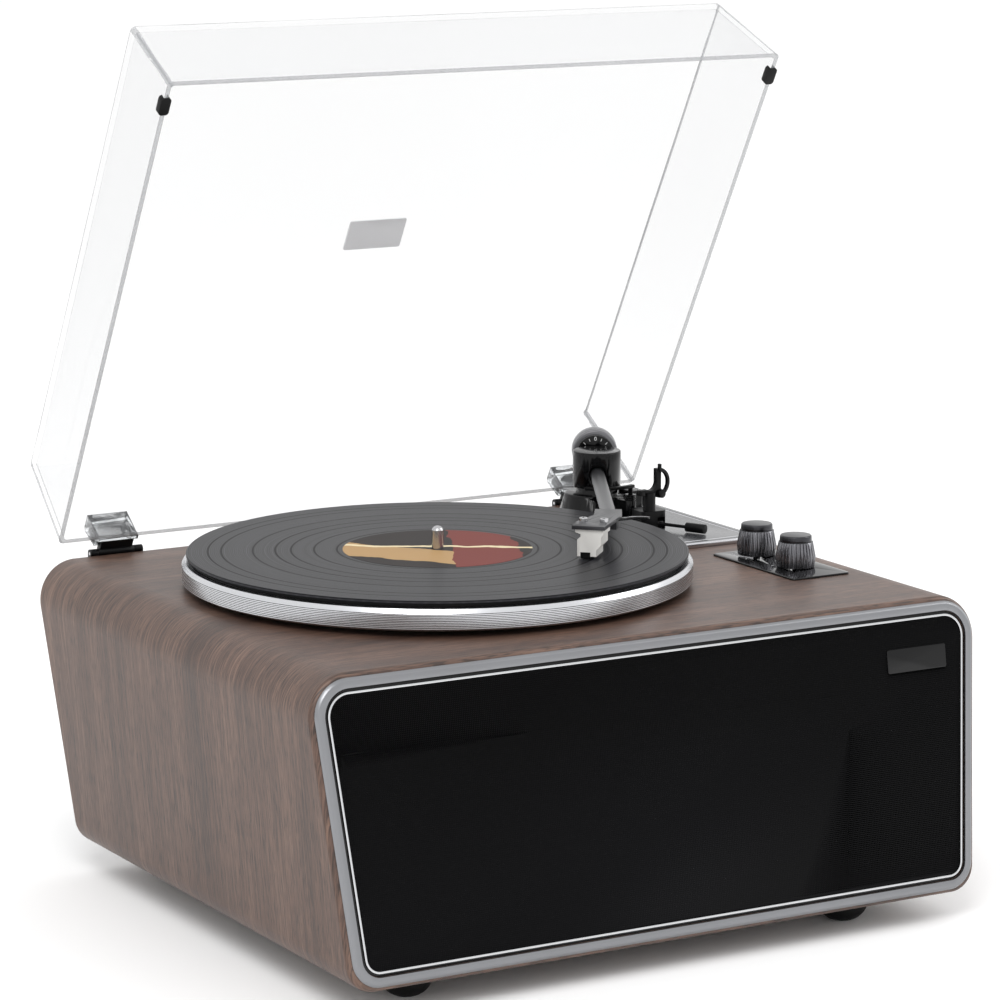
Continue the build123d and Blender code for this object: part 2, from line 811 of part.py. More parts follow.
motor_top = deck_z - wrap_wall
motor_length = 28
motor_shaft_radius = 1
motor_ear = 9
with BuildPart() as motor:
    with BuildSketch(Plane.XY.offset(motor_top)):
        with Locations(motor_place):
            SlotCenterToCenter(2 * motor_radius + motor_ear, 2 * motor_ear)
            Circle(motor_radius)
    extrude(amount=-2)
    with BuildSketch(Plane.XY.offset(motor_top - 2)):
        with Locations(motor_place):
            Circle(motor_radius)
    extrude(amount=-motor_length)
    with BuildSketch(Plane.XY.offset(motor_top)):
        with Locations(motor_place):
            Circle(motor_shaft_radius + running_clearance)
    extrude(amount=-motor_length / 2, mode=Mode.SUBTRACT)
export(motor, "motor")

belt_bottom = platter_z + 1.6
with BuildPart() as motor_pulley:
    with BuildSketch(Plane.XY.offset(motor_top - motor_length / 2 + 1)):
        with Locations(motor_place):
            Circle(motor_shaft_radius)
    extrude(amount=belt_bottom - 1 - motor_top + motor_length / 2 - 1)
    with BuildSketch(Plane.XY.offset(belt_bottom - 1)):
        with Locations(motor_place):
            Circle(pulley_radius + 1)
    extrude(amount=0.8)
    with BuildSketch(Plane.XY.offset(belt_bottom - 0.2)):
        with Locations(motor_place):
            Circle(pulley_radius)
    extrude(amount=belt_width + 0.4)
    with BuildSketch(Plane.XY.offset(belt_bottom + belt_width + 0.2)):
        with Locations(motor_place):
            Circle(pulley_radius + 1)
    extrude(amount=0.6)
export(motor_pulley, "motor_pulley")


def belt_outline(clearance):
    """The belt's run round the drive ring and the pulley, at a clearance from both."""
    with BuildSketch() as run:
        with Locations(bearing_place):
            Circle(drive_ring_radius + clearance)
        with Locations(motor_place):
            Circle(pulley_radius + clearance)
        make_hull()
    return run.sketch


with BuildPart() as drive_belt:
    with BuildSketch(Plane.XY.offset(belt_bottom)):
        add(belt_outline(belt_clearance + belt_thickness))
        add(belt_outline(belt_clearance), mode=Mode.SUBTRACT)
    extrude(amount=belt_width)
export(drive_belt, "drive_belt")

# ---- Tonearm plate and base ----

arm_plate_front = 11
arm_plate_back = 152
arm_plate_left = 128
arm_plate_right = 240
arm_plate_curve = 156
arm_plate_corner = 5
groove_inset = 5.5
groove_width = 0.9
plate_top = arm_plate_thickness - (record_top - deck_z)  # from the record's top


def arm_plate_outline(inset):
    """The tonearm plate's outline from above: a rectangle hollowed round the platter."""
    width = arm_plate_right - arm_plate_left - 2 * inset
    length = arm_plate_back - arm_plate_front - 2 * inset
    middle = ((arm_plate_left + arm_plate_right) / 2, (arm_plate_front + arm_plate_back) / 2)
    with BuildSketch() as outline:
        with Locations(middle):
            Rectangle(width, length)
        Circle(arm_plate_curve + inset, mode=Mode.SUBTRACT)
        fillet(outline.vertices(), arm_plate_corner - inset / 2)
    return outline.sketch


with BuildPart() as tonearm_plate:
    with BuildSketch(level(0, 0, plate_top - arm_plate_thickness)):
        add(arm_plate_outline(0))
    extrude(amount=arm_plate_thickness)
    chamfer(tonearm_plate.faces().sort_by(Axis.Z)[-1].edges(), 0.9)
    with BuildSketch(level(0, 0, plate_top)):
        add(arm_plate_outline(groove_inset))
        add(arm_plate_outline(groove_inset + groove_width), mode=Mode.SUBTRACT)
    extrude(amount=-0.5, mode=Mode.SUBTRACT)
export(tonearm_plate, "tonearm_plate")

pivot_x, pivot_y = pivot_from_spindle
lift_angle = 17  # outwards from straight ahead, seen from the tonearm's pivot
lift_place = (
    pivot_x + lift_distance * math.sin(math.radians(lift_angle)),
    pivot_y - lift_distance * math.cos(math.radians(lift_angle)),
)
collar_radius = 13.5
collar_top = 2.7
base_top = -1
turret_shaft_radius = 4
turret_shaft_bottom = -16
lift_stem_radius = 1.5
lift_cylinder_radius = 3.6
lift_cylinder_top = 1
side_block = (196, 96, 206, 112)
antiskate_point = (104, -6)
antiskate_shaft_radius = 1.5

with BuildPart() as tonearm_base:
    with BuildSketch(Plane(origin=from_spindle(pivot_x, pivot_y, 0), x_dir=(1, 0, 0), z_dir=(0, -1, 0))):
        with BuildLine():
            Polyline(
                (turret_shaft_radius + running_clearance, plate_top),
                (base_bottom_radius, plate_top),
                (base_bottom_radius, plate_top + 1.5),
                (base_top_radius, base_top - 1),
                (base_top_radius - 1, base_top),
                (collar_radius, base_top),
                (collar_radius, collar_top),
                (turret_shaft_radius + running_clearance, collar_top),
                close=True,
            )
        make_face()
    revolve(axis=Axis(from_spindle(pivot_x, pivot_y, 0), (0, 0, 1)))
    with BuildSketch(level((side_block[0] + side_block[2]) / 2, (side_block[1] + side_block[3]) / 2, plate_top)):
        RectangleRounded(side_block[2] - side_block[0], side_block[3] - side_block[1], 2)
    extrude(amount=lift_cylinder_top - plate_top)
    with BuildSketch(level(*lift_place, plate_top)):
        Circle(lift_cylinder_radius)
        with Locations(Location((-3, 8, 0), lift_angle)):
            Rectangle(6, 16)
    extrude(amount=base_top - 2 - plate_top)
    for step in range(3):
        with BuildSketch(level(*lift_place, base_top - 2 + step * 1.3)):
            Circle(lift_cylinder_radius - 0.5)
        extrude(amount=0.5)
        with BuildSketch(level(*lift_place, base_top - 1.5 + step * 1.3)):
            Circle(lift_cylinder_radius)
        extrude(amount=0.8)
    with BuildSketch(level(*lift_place, lift_cylinder_top)):
        Circle(lift_stem_radius + running_clearance)
    extrude(amount=-16, both=True, mode=Mode.SUBTRACT)
    with BuildSketch(Plane(origin=from_spindle(side_block[2], *antiskate_point), x_dir=(0, 1, 0), z_dir=(1, 0, 0))):
        Circle(antiskate_shaft_radius + running_clearance)
    extrude(amount=-7, mode=Mode.SUBTRACT)
    with BuildSketch(level(pivot_x, pivot_y, plate_top)):
        Circle(turret_shaft_radius + running_clearance)
    extrude(amount=collar_top - plate_top, mode=Mode.SUBTRACT)
export(tonearm_base, "tonearm_base")

with BuildPart() as antiskate_knob:
    with BuildSketch(
        Plane(origin=from_spindle(side_block[2] + 0.4, *antiskate_point), x_dir=(0, 1, 0), z_dir=(1, 0, 0))
    ):
        Circle(5.2)
        with PolarLocations(5.4, 14):
            Circle(0.6, mode=Mode.SUBTRACT)
    extrude(amount=5.6)
    chamfer(antiskate_knob.edges().group_by(Axis.X)[-1], 0.3)
    with BuildSketch(
        Plane(origin=from_spindle(side_block[2] + 0.4, *antiskate_point), x_dir=(0, 1, 0), z_dir=(1, 0, 0))
    ):
        Circle(antiskate_shaft_radius)
    extrude(amount=-7)
export(antiskate_knob, "antiskate_knob")

# ---- Tonearm ----

tube_angle = math.radians(tube_angle_deg)
tube_rise = math.radians(tube_rise_deg)
ahead_x = -math.sin(tube_angle)
ahead_y = -math.cos(tube_angle)


def along_arm(distance, side, height):
    """A point along the tonearm from its pivot, to its outer side, above the record."""
    return from_spindle(
        pivot_x + distance * ahead_x - side * ahead_y,
        pivot_y + distance * ahead_y + side * ahead_x,
        height,
    )


def across_arm(distance, height):
    """A plane square to the tonearm, with x outwards, y up and the normal ahead."""
    return Plane(
        origin=along_arm(distance, 0, height), x_dir=(-ahead_y, ahead_x, 0), z_dir=(ahead_x, ahead_y, 0)
    )


def over_arm(height):
    """A level plane at the tonearm's pivot, with x ahead and y outwards."""
    return Plane(origin=along_arm(0, 0, height), x_dir=(ahead_x, ahead_y, 0), z_dir=(0, 0, 1))


def tube_plane(distance):
    """A plane square to the rising tube, centred on its axis."""
    return Plane(
        origin=along_arm(distance, 0, pitch_axis_height + distance * math.tan(tube_rise)),
        x_dir=(-ahead_y, ahead_x, 0),
        z_dir=(ahead_x * math.cos(tube_rise), ahead_y * math.cos(tube_rise), math.sin(tube_rise)),
    )


turret_inner = turret_radius - turret_wall
pitch_pin_radius = 1.2
tube_start = 2
tube_seat = 4
slot_width = 10.8
block_half_length = 6
block_half_width = 7
block_bottom = 6
block_top = 22
window_bottom = 12
window_top = 23.6
turret_slot_bottom = 6.2
turret_slot_top = 18.8

with BuildPart() as turret:
    with BuildSketch(over_arm(turret_bottom)):
        Circle(turret_radius)
    extrude(amount=turret_top - turret_bottom)
    chamfer(turret.edges().group_by(Axis.Z)[-1], 0.6)
    with BuildSketch(over_arm(turret_bottom + 2)):
        Circle(turret_inner)
    extrude(amount=turret_top - turret_bottom - 4, mode=Mode.SUBTRACT)
    with BuildSketch(across_arm(0, 0)):
        with Locations((0, (turret_slot_bottom + turret_slot_top) / 2)):
            RectangleRounded(slot_width, turret_slot_top - turret_slot_bottom, 5)
    extrude(amount=turret_radius + 1, mode=Mode.SUBTRACT)
    with BuildSketch(across_arm(0, 0)):
        with Locations((0, (window_bottom + window_top) / 2)):
            Rectangle(slot_width, window_top - window_bottom)
    extrude(amount=-turret_radius - 1, mode=Mode.SUBTRACT)
    with BuildSketch(Plane(origin=along_arm(0, 0, pitch_axis_height), x_dir=(0, 0, 1), z_dir=(-ahead_y, ahead_x, 0))):
        Circle(pitch_pin_radius + running_clearance)
    extrude(amount=turret_radius + 1, both=True, mode=Mode.SUBTRACT)
    with BuildSketch(over_arm(turret_bottom)):
        Circle(turret_shaft_radius)
    extrude(amount=turret_shaft_bottom - turret_bottom)
export(turret, "turret")

with BuildPart() as pivot_block:
    with BuildSketch(over_arm(block_bottom)):
        Rectangle(2 * block_half_length, 2 * block_half_width)
    extrude(amount=block_top - block_bottom)
    with BuildSketch(tube_plane(tube_start)):
        Circle(tube_radius)
    extrude(amount=tube_length, mode=Mode.SUBTRACT)
    with BuildSketch(across_arm(-block_half_length, stub_axis_height)):
        Circle(stub_radius)
    extrude(amount=weight_length + weight_start - block_half_length - 1, dir=(-ahead_x, -ahead_y, 0))
export(pivot_block, "pivot_block")

with BuildPart() as pitch_pins:
    for side in (-1, 1):
        with BuildSketch(
            Plane(
                origin=along_arm(0, side * block_half_width, pitch_axis_height),
                x_dir=(0, 0, 1),
                z_dir=(-ahead_y * side, ahead_x * side, 0),
            )
        ):
            Circle(pitch_pin_radius)
        extrude(amount=turret_radius - 0.5 - block_half_width)
export(pitch_pins, "pitch_pins")

with BuildPart() as arm_tube:
    with BuildSketch(tube_plane(tube_start)):
        Circle(tube_radius)
        Circle(tube_radius - 1, mode=Mode.SUBTRACT)
    extrude(amount=tube_length + tube_seat - tube_start)
export(arm_tube, "arm_tube")

# The headshell points at the stylus, turned inwards from the tube.
shell_angle = math.radians(tube_angle_deg + shell_offset_deg)
shell_x = -math.sin(shell_angle)
shell_y = -math.cos(shell_angle)
heel_x = pivot_x + tube_length * ahead_x
heel_y = pivot_y + tube_length * ahead_y
stylus_x = heel_x + shell_reach * shell_x
stylus_y = heel_y + shell_reach * shell_y


def shell_level(height):
    """A level plane at the stylus, with x ahead along the headshell and y outwards."""
    return Plane(origin=from_spindle(stylus_x, stylus_y, height), x_dir=(shell_x, shell_y, 0), z_dir=(0, 0, 1))


def shell_section(ahead, height):
    """A plane square to the headshell, with x outwards and y up."""
    return Plane(
        origin=from_spindle(stylus_x + ahead * shell_x, stylus_y + ahead * shell_y, height),
        x_dir=(-shell_y, shell_x, 0),
        z_dir=(shell_x, shell_y, 0),
    )


shell_bottom = shell_top - shell_thickness
screw_points = [(-12, -6.35), (-12, 6.35)]
cartridge_screw_radius = 1.2
cartridge_screw_head = 2.5
cartridge_screw_height = 2.4
screw_slot = 0.7
finger_lift_top = shell_bottom

with BuildPart() as headshell:
    with BuildSketch(shell_level(shell_bottom)):
        with BuildLine():
            Polyline(
                (2.5, -9.9), (2.5, 9.9), (-39, 11), (-55, 7.1), (-52, -8.7), (-33.4, -5), (-12.1, -10.4), close=True
            )
        make_face()
    extrude(amount=shell_thickness)
    with BuildSketch(shell_level(shell_bottom)):
        with Locations((-47.5, 0.8)):
            Rectangle(11, 12)
    extrude(amount=-8)
    with BuildSketch(shell_level(shell_top)):
        with Locations(*screw_points):
            Circle(cartridge_screw_radius)
    extrude(amount=-shell_thickness, mode=Mode.SUBTRACT)
    with BuildSketch(tube_plane(tube_start)):
        Circle(tube_radius)
    extrude(amount=tube_length + tube_seat - tube_start, mode=Mode.SUBTRACT)
export(headshell, "headshell")

with BuildPart() as finger_lift:
    with BuildSketch(shell_level(finger_lift_top)):
        with BuildLine():
            Line((-37, 7), (-41, 12))
            ThreePointArc((-41, 12), (-46, 18), (-46.5, 26))
        trace(line_width=3)
    extrude(amount=-1.6)
export(finger_lift, "finger_lift")

stylus_gap = 0.3
cartridge_bottom = 1.8
with BuildPart() as cartridge:
    with BuildSketch(shell_section(1, 0)):
        with BuildLine():
            Polyline(
                (-8.2, shell_bottom),
                (8.8, shell_bottom),
                (8.8, shell_bottom - 3.4),
                (7.5, shell_bottom - 4.4),
                (7.5, shell_bottom - 9.6),
                (4.6, shell_bottom - 12.6),
                (4.6, cartridge_bottom),
                (-7, cartridge_bottom),
                (-7, shell_bottom - 6.4),
                (-5, shell_bottom - 4.8),
                (-5, shell_bottom - 3),
                (-8.2, shell_bottom - 2),
                close=True,
            )
        make_face()
    extrude(amount=-18)
    with BuildSketch(shell_section(1, cartridge_bottom)):
        with Locations((-2, 0)):
            Rectangle(6, 5)
    extrude(amount=-18, mode=Mode.SUBTRACT)
    with BuildSketch(shell_level(shell_bottom)):
        with Locations(*screw_points):
            Circle(cartridge_screw_radius)
    extrude(amount=-2, mode=Mode.SUBTRACT)
export(cartridge, "cartridge")

with BuildPart() as stylus:
    with BuildSketch(shell_section(1, cartridge_bottom)):
        with Locations((-2, 0.7)):
            Rectangle(6, 3.6)
    extrude(amount=-18)
    with BuildSketch(shell_section(0.6, 1)):
        with Locations((-2, 0.1)):
            Rectangle(1.2, 1.2)
    extrude(amount=-6)
    with BuildSketch(Plane(origin=shell_section(0, 0).from_local_coords(Vector(-2, 0, 0)), x_dir=(1, 0, 0),
                           z_dir=(0, -1, 0))):
        with BuildLine():
            Polyline((0, stylus_gap), (0.3, 0.9), (0, 0.9), close=True)
        make_face()
    revolve(axis=Axis(shell_section(0, 0).from_local_coords(Vector(-2, 0, 0)), (0, 0, 1)))
export(stylus, "stylus")

with BuildPart() as cartridge_screws:
    with BuildSketch(shell_level(shell_top)):
        with Locations(*screw_points):
            Circle(cartridge_screw_head)
    extrude(amount=cartridge_screw_height)
    chamfer(cartridge_screws.edges().group_by(Axis.Z)[-1], 0.4)
    with BuildSketch(shell_level(shell_top + cartridge_screw_height)):
        with Locations(*screw_points):
            Rectangle(2 * cartridge_screw_head - 1.6, screw_slot)
            Rectangle(screw_slot, 2 * cartridge_screw_head - 1.6)
    extrude(amount=-0.9, mode=Mode.SUBTRACT)
    with BuildSketch(shell_level(shell_top)):
        with Locations(*screw_points):
            Circle(cartridge_screw_radius)
    extrude(amount=-shell_thickness - 2)
export(cartridge_screws, "cartridge_screws")

dial_start = weight_start - 0.3 - dial_length
with BuildPart() as dial_ring:
    with BuildSketch(across_arm(-dial_start, stub_axis_height)):
        Circle(dial_radius)
        Circle(stub_radius + running_clearance, mode=Mode.SUBTRACT)
    extrude(amount=dial_length, dir=(-ahead_x, -ahead_y, 0))
export(dial_ring, "dial_ring")

with BuildPart() as counterweight:
    with BuildSketch(across_arm(-weight_start, stub_axis_height)):
        Circle(weight_radius)
        Circle(stub_radius + running_clearance, mode=Mode.SUBTRACT)
    extrude(amount=weight_length, dir=(-ahead_x, -ahead_y, 0))
    chamfer(counterweight.edges().filter_by(GeomType.CIRCLE).sort_by(SortBy.RADIUS)[-2:], 0.8)
    with BuildSketch(across_arm(-weight_start - 3, stub_axis_height)):
        Circle(weight_radius)
        Circle(weight_radius - 0.6, mode=Mode.SUBTRACT)
    extrude(amount=1.2, dir=(-ahead_x, -ahead_y, 0), mode=Mode.SUBTRACT)
export(counterweight, "counterweight")

# ---- Armrest, latch and lift ----

parked = math.radians(parked_angle_deg)
rest_x = pivot_x - rest_distance * math.sin(parked)
rest_y = pivot_y - rest_distance * math.cos(parked)
cradle_height = 12.3
cradle_radius = 5.3
cradle_wall = 2.3
fork_thickness = 4
rest_block_size = (18, 17.5)
rest_block_top = -5.9
rest_post_radius = 4
latch_pin = (7.5, -7.8)
latch_pin_radius = 1
latch_gap = 0.3
latch_thickness = 2.2
rest_block_middle = (193, 69.25)
rest_block_front = rest_block_middle[1] - rest_block_size[1] / 2
lever_hub = (194.8, 199.2)  # along the hinge line of the cue lever
lever_point = (63.2, -14.4)
lever_shaft_radius = 1.2
lever_notch = (194.5, 200.4, 66, -10)  # left, right, back and top


def fork_plane(ahead):
    """A plane square to the parked arm at the rest, with x outwards and y up."""
    return Plane(
        origin=from_spindle(rest_x - ahead * math.sin(parked), rest_y - ahead * math.cos(parked), cradle_height),
        x_dir=(math.cos(parked), -math.sin(parked), 0),
        z_dir=(-math.sin(parked), -math.cos(parked), 0),
    )


with BuildPart() as armrest:
    with BuildSketch(level(*rest_block_middle, plate_top)):
        RectangleRounded(*rest_block_size, 4)
    extrude(amount=rest_block_top - plate_top)
    with BuildSketch(level(rest_x, rest_y, rest_block_top)):
        Circle(rest_post_radius)
    extrude(amount=cradle_height - cradle_radius - 1.5 - rest_block_top)
    with BuildSketch(fork_plane(-fork_thickness / 2)):
        Circle(cradle_radius + cradle_wall)
        with Locations((-7, -6.2)):
            Rectangle(3.6, 3.4)
        with Locations((6.8, 1)):
            Rectangle(3, 14.4)
        with Locations(latch_pin):
            Circle(3)
        with Locations((4, -6)):
            Rectangle(6, 5)
        Circle(cradle_radius, mode=Mode.SUBTRACT)
        with Locations((-1.6, 9)):
            Rectangle(13.8, 20, mode=Mode.SUBTRACT)
        with Locations((-10, 5.5)):
            Rectangle(14, 20, mode=Mode.SUBTRACT)
        with Locations(latch_pin):
            Circle(latch_pin_radius + running_clearance, mode=Mode.SUBTRACT)
    extrude(amount=fork_thickness)
    notch_left, notch_right, notch_back, notch_top = lever_notch
    with BuildSketch(level((notch_left + notch_right) / 2, (rest_block_front + notch_back) / 2, plate_top)):
        Rectangle(notch_right - notch_left, notch_back - rest_block_front)
    extrude(amount=notch_top - plate_top, mode=Mode.SUBTRACT)
    with BuildSketch(Plane(origin=from_spindle(notch_left, *lever_point), x_dir=(0, 1, 0), z_dir=(1, 0, 0))):
        Circle(lever_shaft_radius + running_clearance)
    extrude(amount=-6, mode=Mode.SUBTRACT)
export(armrest, "armrest")

latch_center = (4, -0.2)
latch_mean_radius = 8.5
with BuildPart() as armrest_latch:
    with BuildSketch(fork_plane(fork_thickness / 2 + latch_gap)):
        with BuildLine():
            CenterArc(latch_center, latch_mean_radius, -80, 160)
        trace(line_width=2.2)
        with Locations(latch_pin):
            Circle(2.8)
        with Locations((latch_center[0] + 1.6, latch_center[1] + latch_mean_radius + 1.4)):
            Rectangle(1.8, 4)
    extrude(amount=latch_thickness)
    with BuildSketch(fork_plane(fork_thickness / 2 + latch_gap)):
        with Locations(latch_pin):
            Circle(latch_pin_radius)
    extrude(amount=-latch_gap - fork_thickness + 0.5)
export(armrest_latch, "armrest_latch")

lever_direction = (0.45, -0.893)
lever_hub_radius = 2.2
lever_foot_x = 195.7  # where the rod leaves the hub's axis
rod_length = 22
grip_length = 13.4
with BuildPart() as cue_lever:
    hub_start = Plane(origin=from_spindle(lever_hub[0], *lever_point), x_dir=(0, 1, 0), z_dir=(1, 0, 0))
    with BuildSketch(hub_start):
        Circle(lever_hub_radius)
    extrude(amount=lever_hub[1] - lever_hub[0])
    with BuildSketch(hub_start):
        Circle(lever_shaft_radius)
    extrude(amount=-5)
    for start, length, radius in ((0.8, rod_length, 1.1), (rod_length, grip_length, 3)):
        rod_x = lever_foot_x + start * lever_direction[0]
        rod_y = lever_point[0] + start * lever_direction[1]
        rod_start = from_spindle(rod_x, rod_y, lever_point[1])
        with BuildSketch(Plane(origin=rod_start, x_dir=(0, 0, 1), z_dir=(*lever_direction, 0))):
            Circle(radius)
        extrude(amount=length)
export(cue_lever, "cue_lever")

lift_top = pitch_axis_height + lift_distance * math.tan(tube_rise) - tube_radius - lift_gap
with BuildPart() as lift_platform:
    with BuildSketch(level(pivot_x, pivot_y, lift_top - 2)):
        with BuildLine():
            CenterArc((0, 0), lift_distance, -90 - tube_angle_deg - 17, tube_angle_deg + 17 - parked_angle_deg + 12)
        trace(line_width=3.4)
    extrude(amount=2)
    with BuildSketch(level(*lift_place, lift_top - 2)):
        Circle(lift_stem_radius)
    extrude(amount=-14)
export(lift_platform, "lift_platform")

# ---- Controls ----

control_plate_box = (187.8, -103, 229.8, -12.8)
control_plate_top = control_plate_thickness - (record_top - deck_z)
knob_gap = 0.6
bushing_radius = potentiometer_hole_radius - 0.05
knob_shaft_radius = 2
with BuildPart() as control_plate:
    with BuildSketch(
        level(
            (control_plate_box[0] + control_plate_box[2]) / 2,
            (control_plate_box[1] + control_plate_box[3]) / 2,
            control_plate_top - control_plate_thickness,
        )
    ):
        RectangleRounded(
            control_plate_box[2] - control_plate_box[0], control_plate_box[3] - control_plate_box[1], 3
        )
    extrude(amount=control_plate_thickness)
    chamfer(control_plate.faces().sort_by(Axis.Z)[-1].edges(), 0.4)
    with BuildSketch(level(0, 0, control_plate_top)):
        with Locations(*knob_positions):
            Circle(potentiometer_hole_radius)
    extrude(amount=-control_plate_thickness, mode=Mode.SUBTRACT)
export(control_plate, "control_plate")

with BuildPart() as potentiometers:
    with BuildSketch(Plane.XY.offset(deck_z - wrap_wall)):
        with Locations(*knob_places):
            RectangleRounded(17, 20, 2)
    extrude(amount=-9)
    with BuildSketch(Plane.XY.offset(deck_z - wrap_wall)):
        with Locations(*knob_places):
            Circle(bushing_radius)
    extrude(amount=wrap_wall + control_plate_thickness)
    with BuildSketch(Plane.XY.offset(deck_z + control_plate_thickness)):
        with Locations(*knob_places):
            Circle(knob_shaft_radius + running_clearance)
    extrude(amount=-13, mode=Mode.SUBTRACT)
export(potentiometers, "potentiometers")

flute_depth = 1
fluted_height = 0.79 * knob_height


def flute_outline(radius):
    """A ring of ridges, as one closed outline."""
    points = []
    for index in range(knob_flutes):
        for share, depth in ((0, 0), (0.4, 0), (0.55, flute_depth), (0.85, flute_depth)):
            angle = 2 * math.pi * (index + share) / knob_flutes
            points.append(((radius - depth) * math.cos(angle), (radius - depth) * math.sin(angle)))
    with BuildSketch() as ring:
        with BuildLine():
            Polyline(*points, close=True)
        make_face()
    return ring.sketch


knob_sections = ((0, knob_radius - 0.8), (0.4, knob_radius), (1, knob_top_radius + 0.6))
for name, place in (("volume_knob", knob_places[0]), ("selector_knob", knob_places[1])):
    knob_base = deck_z + control_plate_thickness + knob_gap
    with BuildPart() as knob:
        for share, radius in knob_sections:
            with BuildSketch(Plane(origin=(*place, knob_base + share * fluted_height))):
                add(flute_outline(radius))
        loft(ruled=True)
        with BuildSketch(Plane(origin=(*place, 0), x_dir=(1, 0, 0), z_dir=(0, -1, 0))):
            with BuildLine():
                Polyline(
                    (0, knob_base + fluted_height),
                    (knob_top_radius - 0.6, knob_base + fluted_height),
                    (knob_top_radius - 0.6, knob_base + fluted_height + 0.5),
                    (knob_top_radius, knob_base + fluted_height + 0.7),
                    (knob_top_radius - 0.2, knob_base + knob_height - 0.6),
                    (knob_top_radius - 0.8, knob_base + knob_height),
                    (0, knob_base + knob_height),
                    close=True,
                )
            make_face()
        revolve(axis=Axis((*place, 0), (0, 0, 1)))
        with BuildSketch(Plane(origin=(*place, knob_base))):
            Circle(knob_shaft_radius)
        extrude(amount=-12)
    export(knob, name)

# ---- Dust cover, drawn shut and then swung open ----

hinge_y = deck_rear_y + hinge_behind_deck
hinge_z = deck_z + hinge_above_deck
hinge_line = Axis((0, hinge_y, hinge_z), (1, 0, 0))
rim_y = hinge_y - axis_to_rim
rim_z = hinge_z + rim_above_axis
cover_middle_y = rim_y - cover_length / 2
cover_corner = 4
socket_wall = 2.2
tongue_width = 22
tongue_y = (rim_y + 2.6, rim_y + 6.6)
tongue_z = (rim_z + 2.3, rim_z + 15.8)
slot_clearance = 0.2
rear_slope = cover_rear_draft / cover_height
bumper_from_rear = 324
bumper_size = (6.4, 11.5, 4.4)


def export_open(piece, name):
    piece.part = piece.part.rotate(hinge_line, -cover_open_deg)
    export(piece, name)


def cover_box(height, inset, corner):
    """The cover's form up to a height above its rim; its walls draw in going up."""
    with BuildPart() as box:
        for level_height in (0, height):
            share = level_height / cover_height
            width = cover_width - 2 * cover_side_draft * share - 2 * inset
            length = cover_length - (cover_front_draft + cover_rear_draft) * share - 2 * inset
            shift = (cover_front_draft - cover_rear_draft) * share / 2
            with BuildSketch(Plane(origin=(0, cover_middle_y + shift, rim_z + level_height))):
                Rectangle(width, length)
        loft(ruled=True)
        level_edges = box.edges().group_by(Axis.Z)
        fillet(box.edges() - level_edges[0] - level_edges[-1], corner)
        fillet(box.faces().sort_by(Axis.Z)[-1].edges(), corner / 2)
    return box.part


with BuildPart() as lid:
    add(cover_box(cover_height, 0, cover_corner))
    add(cover_box(cover_height - cover_wall, cover_wall, cover_corner / 2), mode=Mode.SUBTRACT)

with BuildPart() as lid_badge:
    with BuildSketch(Plane(origin=(0, rim_y - 171.6, rim_z + cover_height))):
        RectangleRounded(40.2, 21.9, 1.5)
    extrude(amount=0.8)

with BuildPart() as lid_bumpers:
    with BuildSketch(Plane.XY.offset(rim_z - cover_rim_gap + 0.2)):
        for side in (-1, 1):
            with Locations((side * (cover_width - cover_wall) / 2, rim_y - bumper_from_rear)):
                RectangleRounded(bumper_size[0], bumper_size[1], 2)
    extrude(amount=bumper_size[2])
    add(lid.part, mode=Mode.SUBTRACT)

with BuildPart() as hinge_sockets:
    for side in (-1, 1):
        middle = side * hinge_spacing / 2
        with BuildSketch(Plane(origin=(middle - socket_width / 2, 0, 0), x_dir=(0, 1, 0), z_dir=(1, 0, 0))):
            with BuildLine():
                Polyline(
                    (rim_y, rim_z),
                    (rim_y + tongue_y[0] - rim_y - slot_clearance, rim_z),
                    (rim_y + tongue_y[0] - rim_y - slot_clearance, rim_z + 4.5),
                    (rim_y + socket_depth, rim_z + 4.5),
                    (rim_y + socket_depth, rim_z + socket_height - 2),
                    (rim_y + socket_depth - 2, rim_z + socket_height),
                    (rim_y - socket_height * rear_slope, rim_z + socket_height),
                    close=True,
                )
            make_face()
        extrude(amount=socket_width)
        with BuildSketch(Plane.XY.offset(rim_z)):
            with Locations((middle, (tongue_y[0] + tongue_y[1]) / 2)):
                Rectangle(tongue_width + 2 * slot_clearance, tongue_y[1] - tongue_y[0] + 2 * slot_clearance)
        extrude(amount=tongue_z[1] - rim_z + slot_clearance, mode=Mode.SUBTRACT)

barrel_half = hinge_width / 2 - knuckle_width - 0.3
with BuildPart() as hinge_leaves:
    for side in (-1, 1):
        middle = side * hinge_spacing / 2
        with BuildSketch(Plane(origin=(middle - tongue_width / 2, 0, 0), x_dir=(0, 1, 0), z_dir=(1, 0, 0))):
            with Locations(((tongue_y[0] + tongue_y[1]) / 2, (tongue_z[0] + tongue_z[1]) / 2)):
                Rectangle(tongue_y[1] - tongue_y[0], tongue_z[1] - tongue_z[0])
            with Locations(((tongue_y[0] + hinge_y) / 2, rim_z + 2.3)):
                Rectangle(hinge_y - tongue_y[0], 4)
        extrude(amount=tongue_width)
        with BuildSketch(Plane(origin=(middle - barrel_half, hinge_y, hinge_z), x_dir=(0, 1, 0), z_dir=(1, 0, 0))):
            Circle(knuckle_radius)
        extrude(amount=2 * barrel_half)
        with BuildSketch(Plane(origin=(middle - barrel_half, hinge_y, hinge_z), x_dir=(0, 1, 0), z_dir=(1, 0, 0))):
            Circle(hinge_pin_radius + running_clearance)
        extrude(amount=2 * barrel_half, mode=Mode.SUBTRACT)

for piece, name in (
    (lid, "lid"),
    (lid_badge, "lid_badge"),
    (lid_bumpers, "lid_bumpers"),
    (hinge_sockets, "hinge_sockets"),
    (hinge_leaves, "hinge_leaves"),
):
    export_open(piece, name)

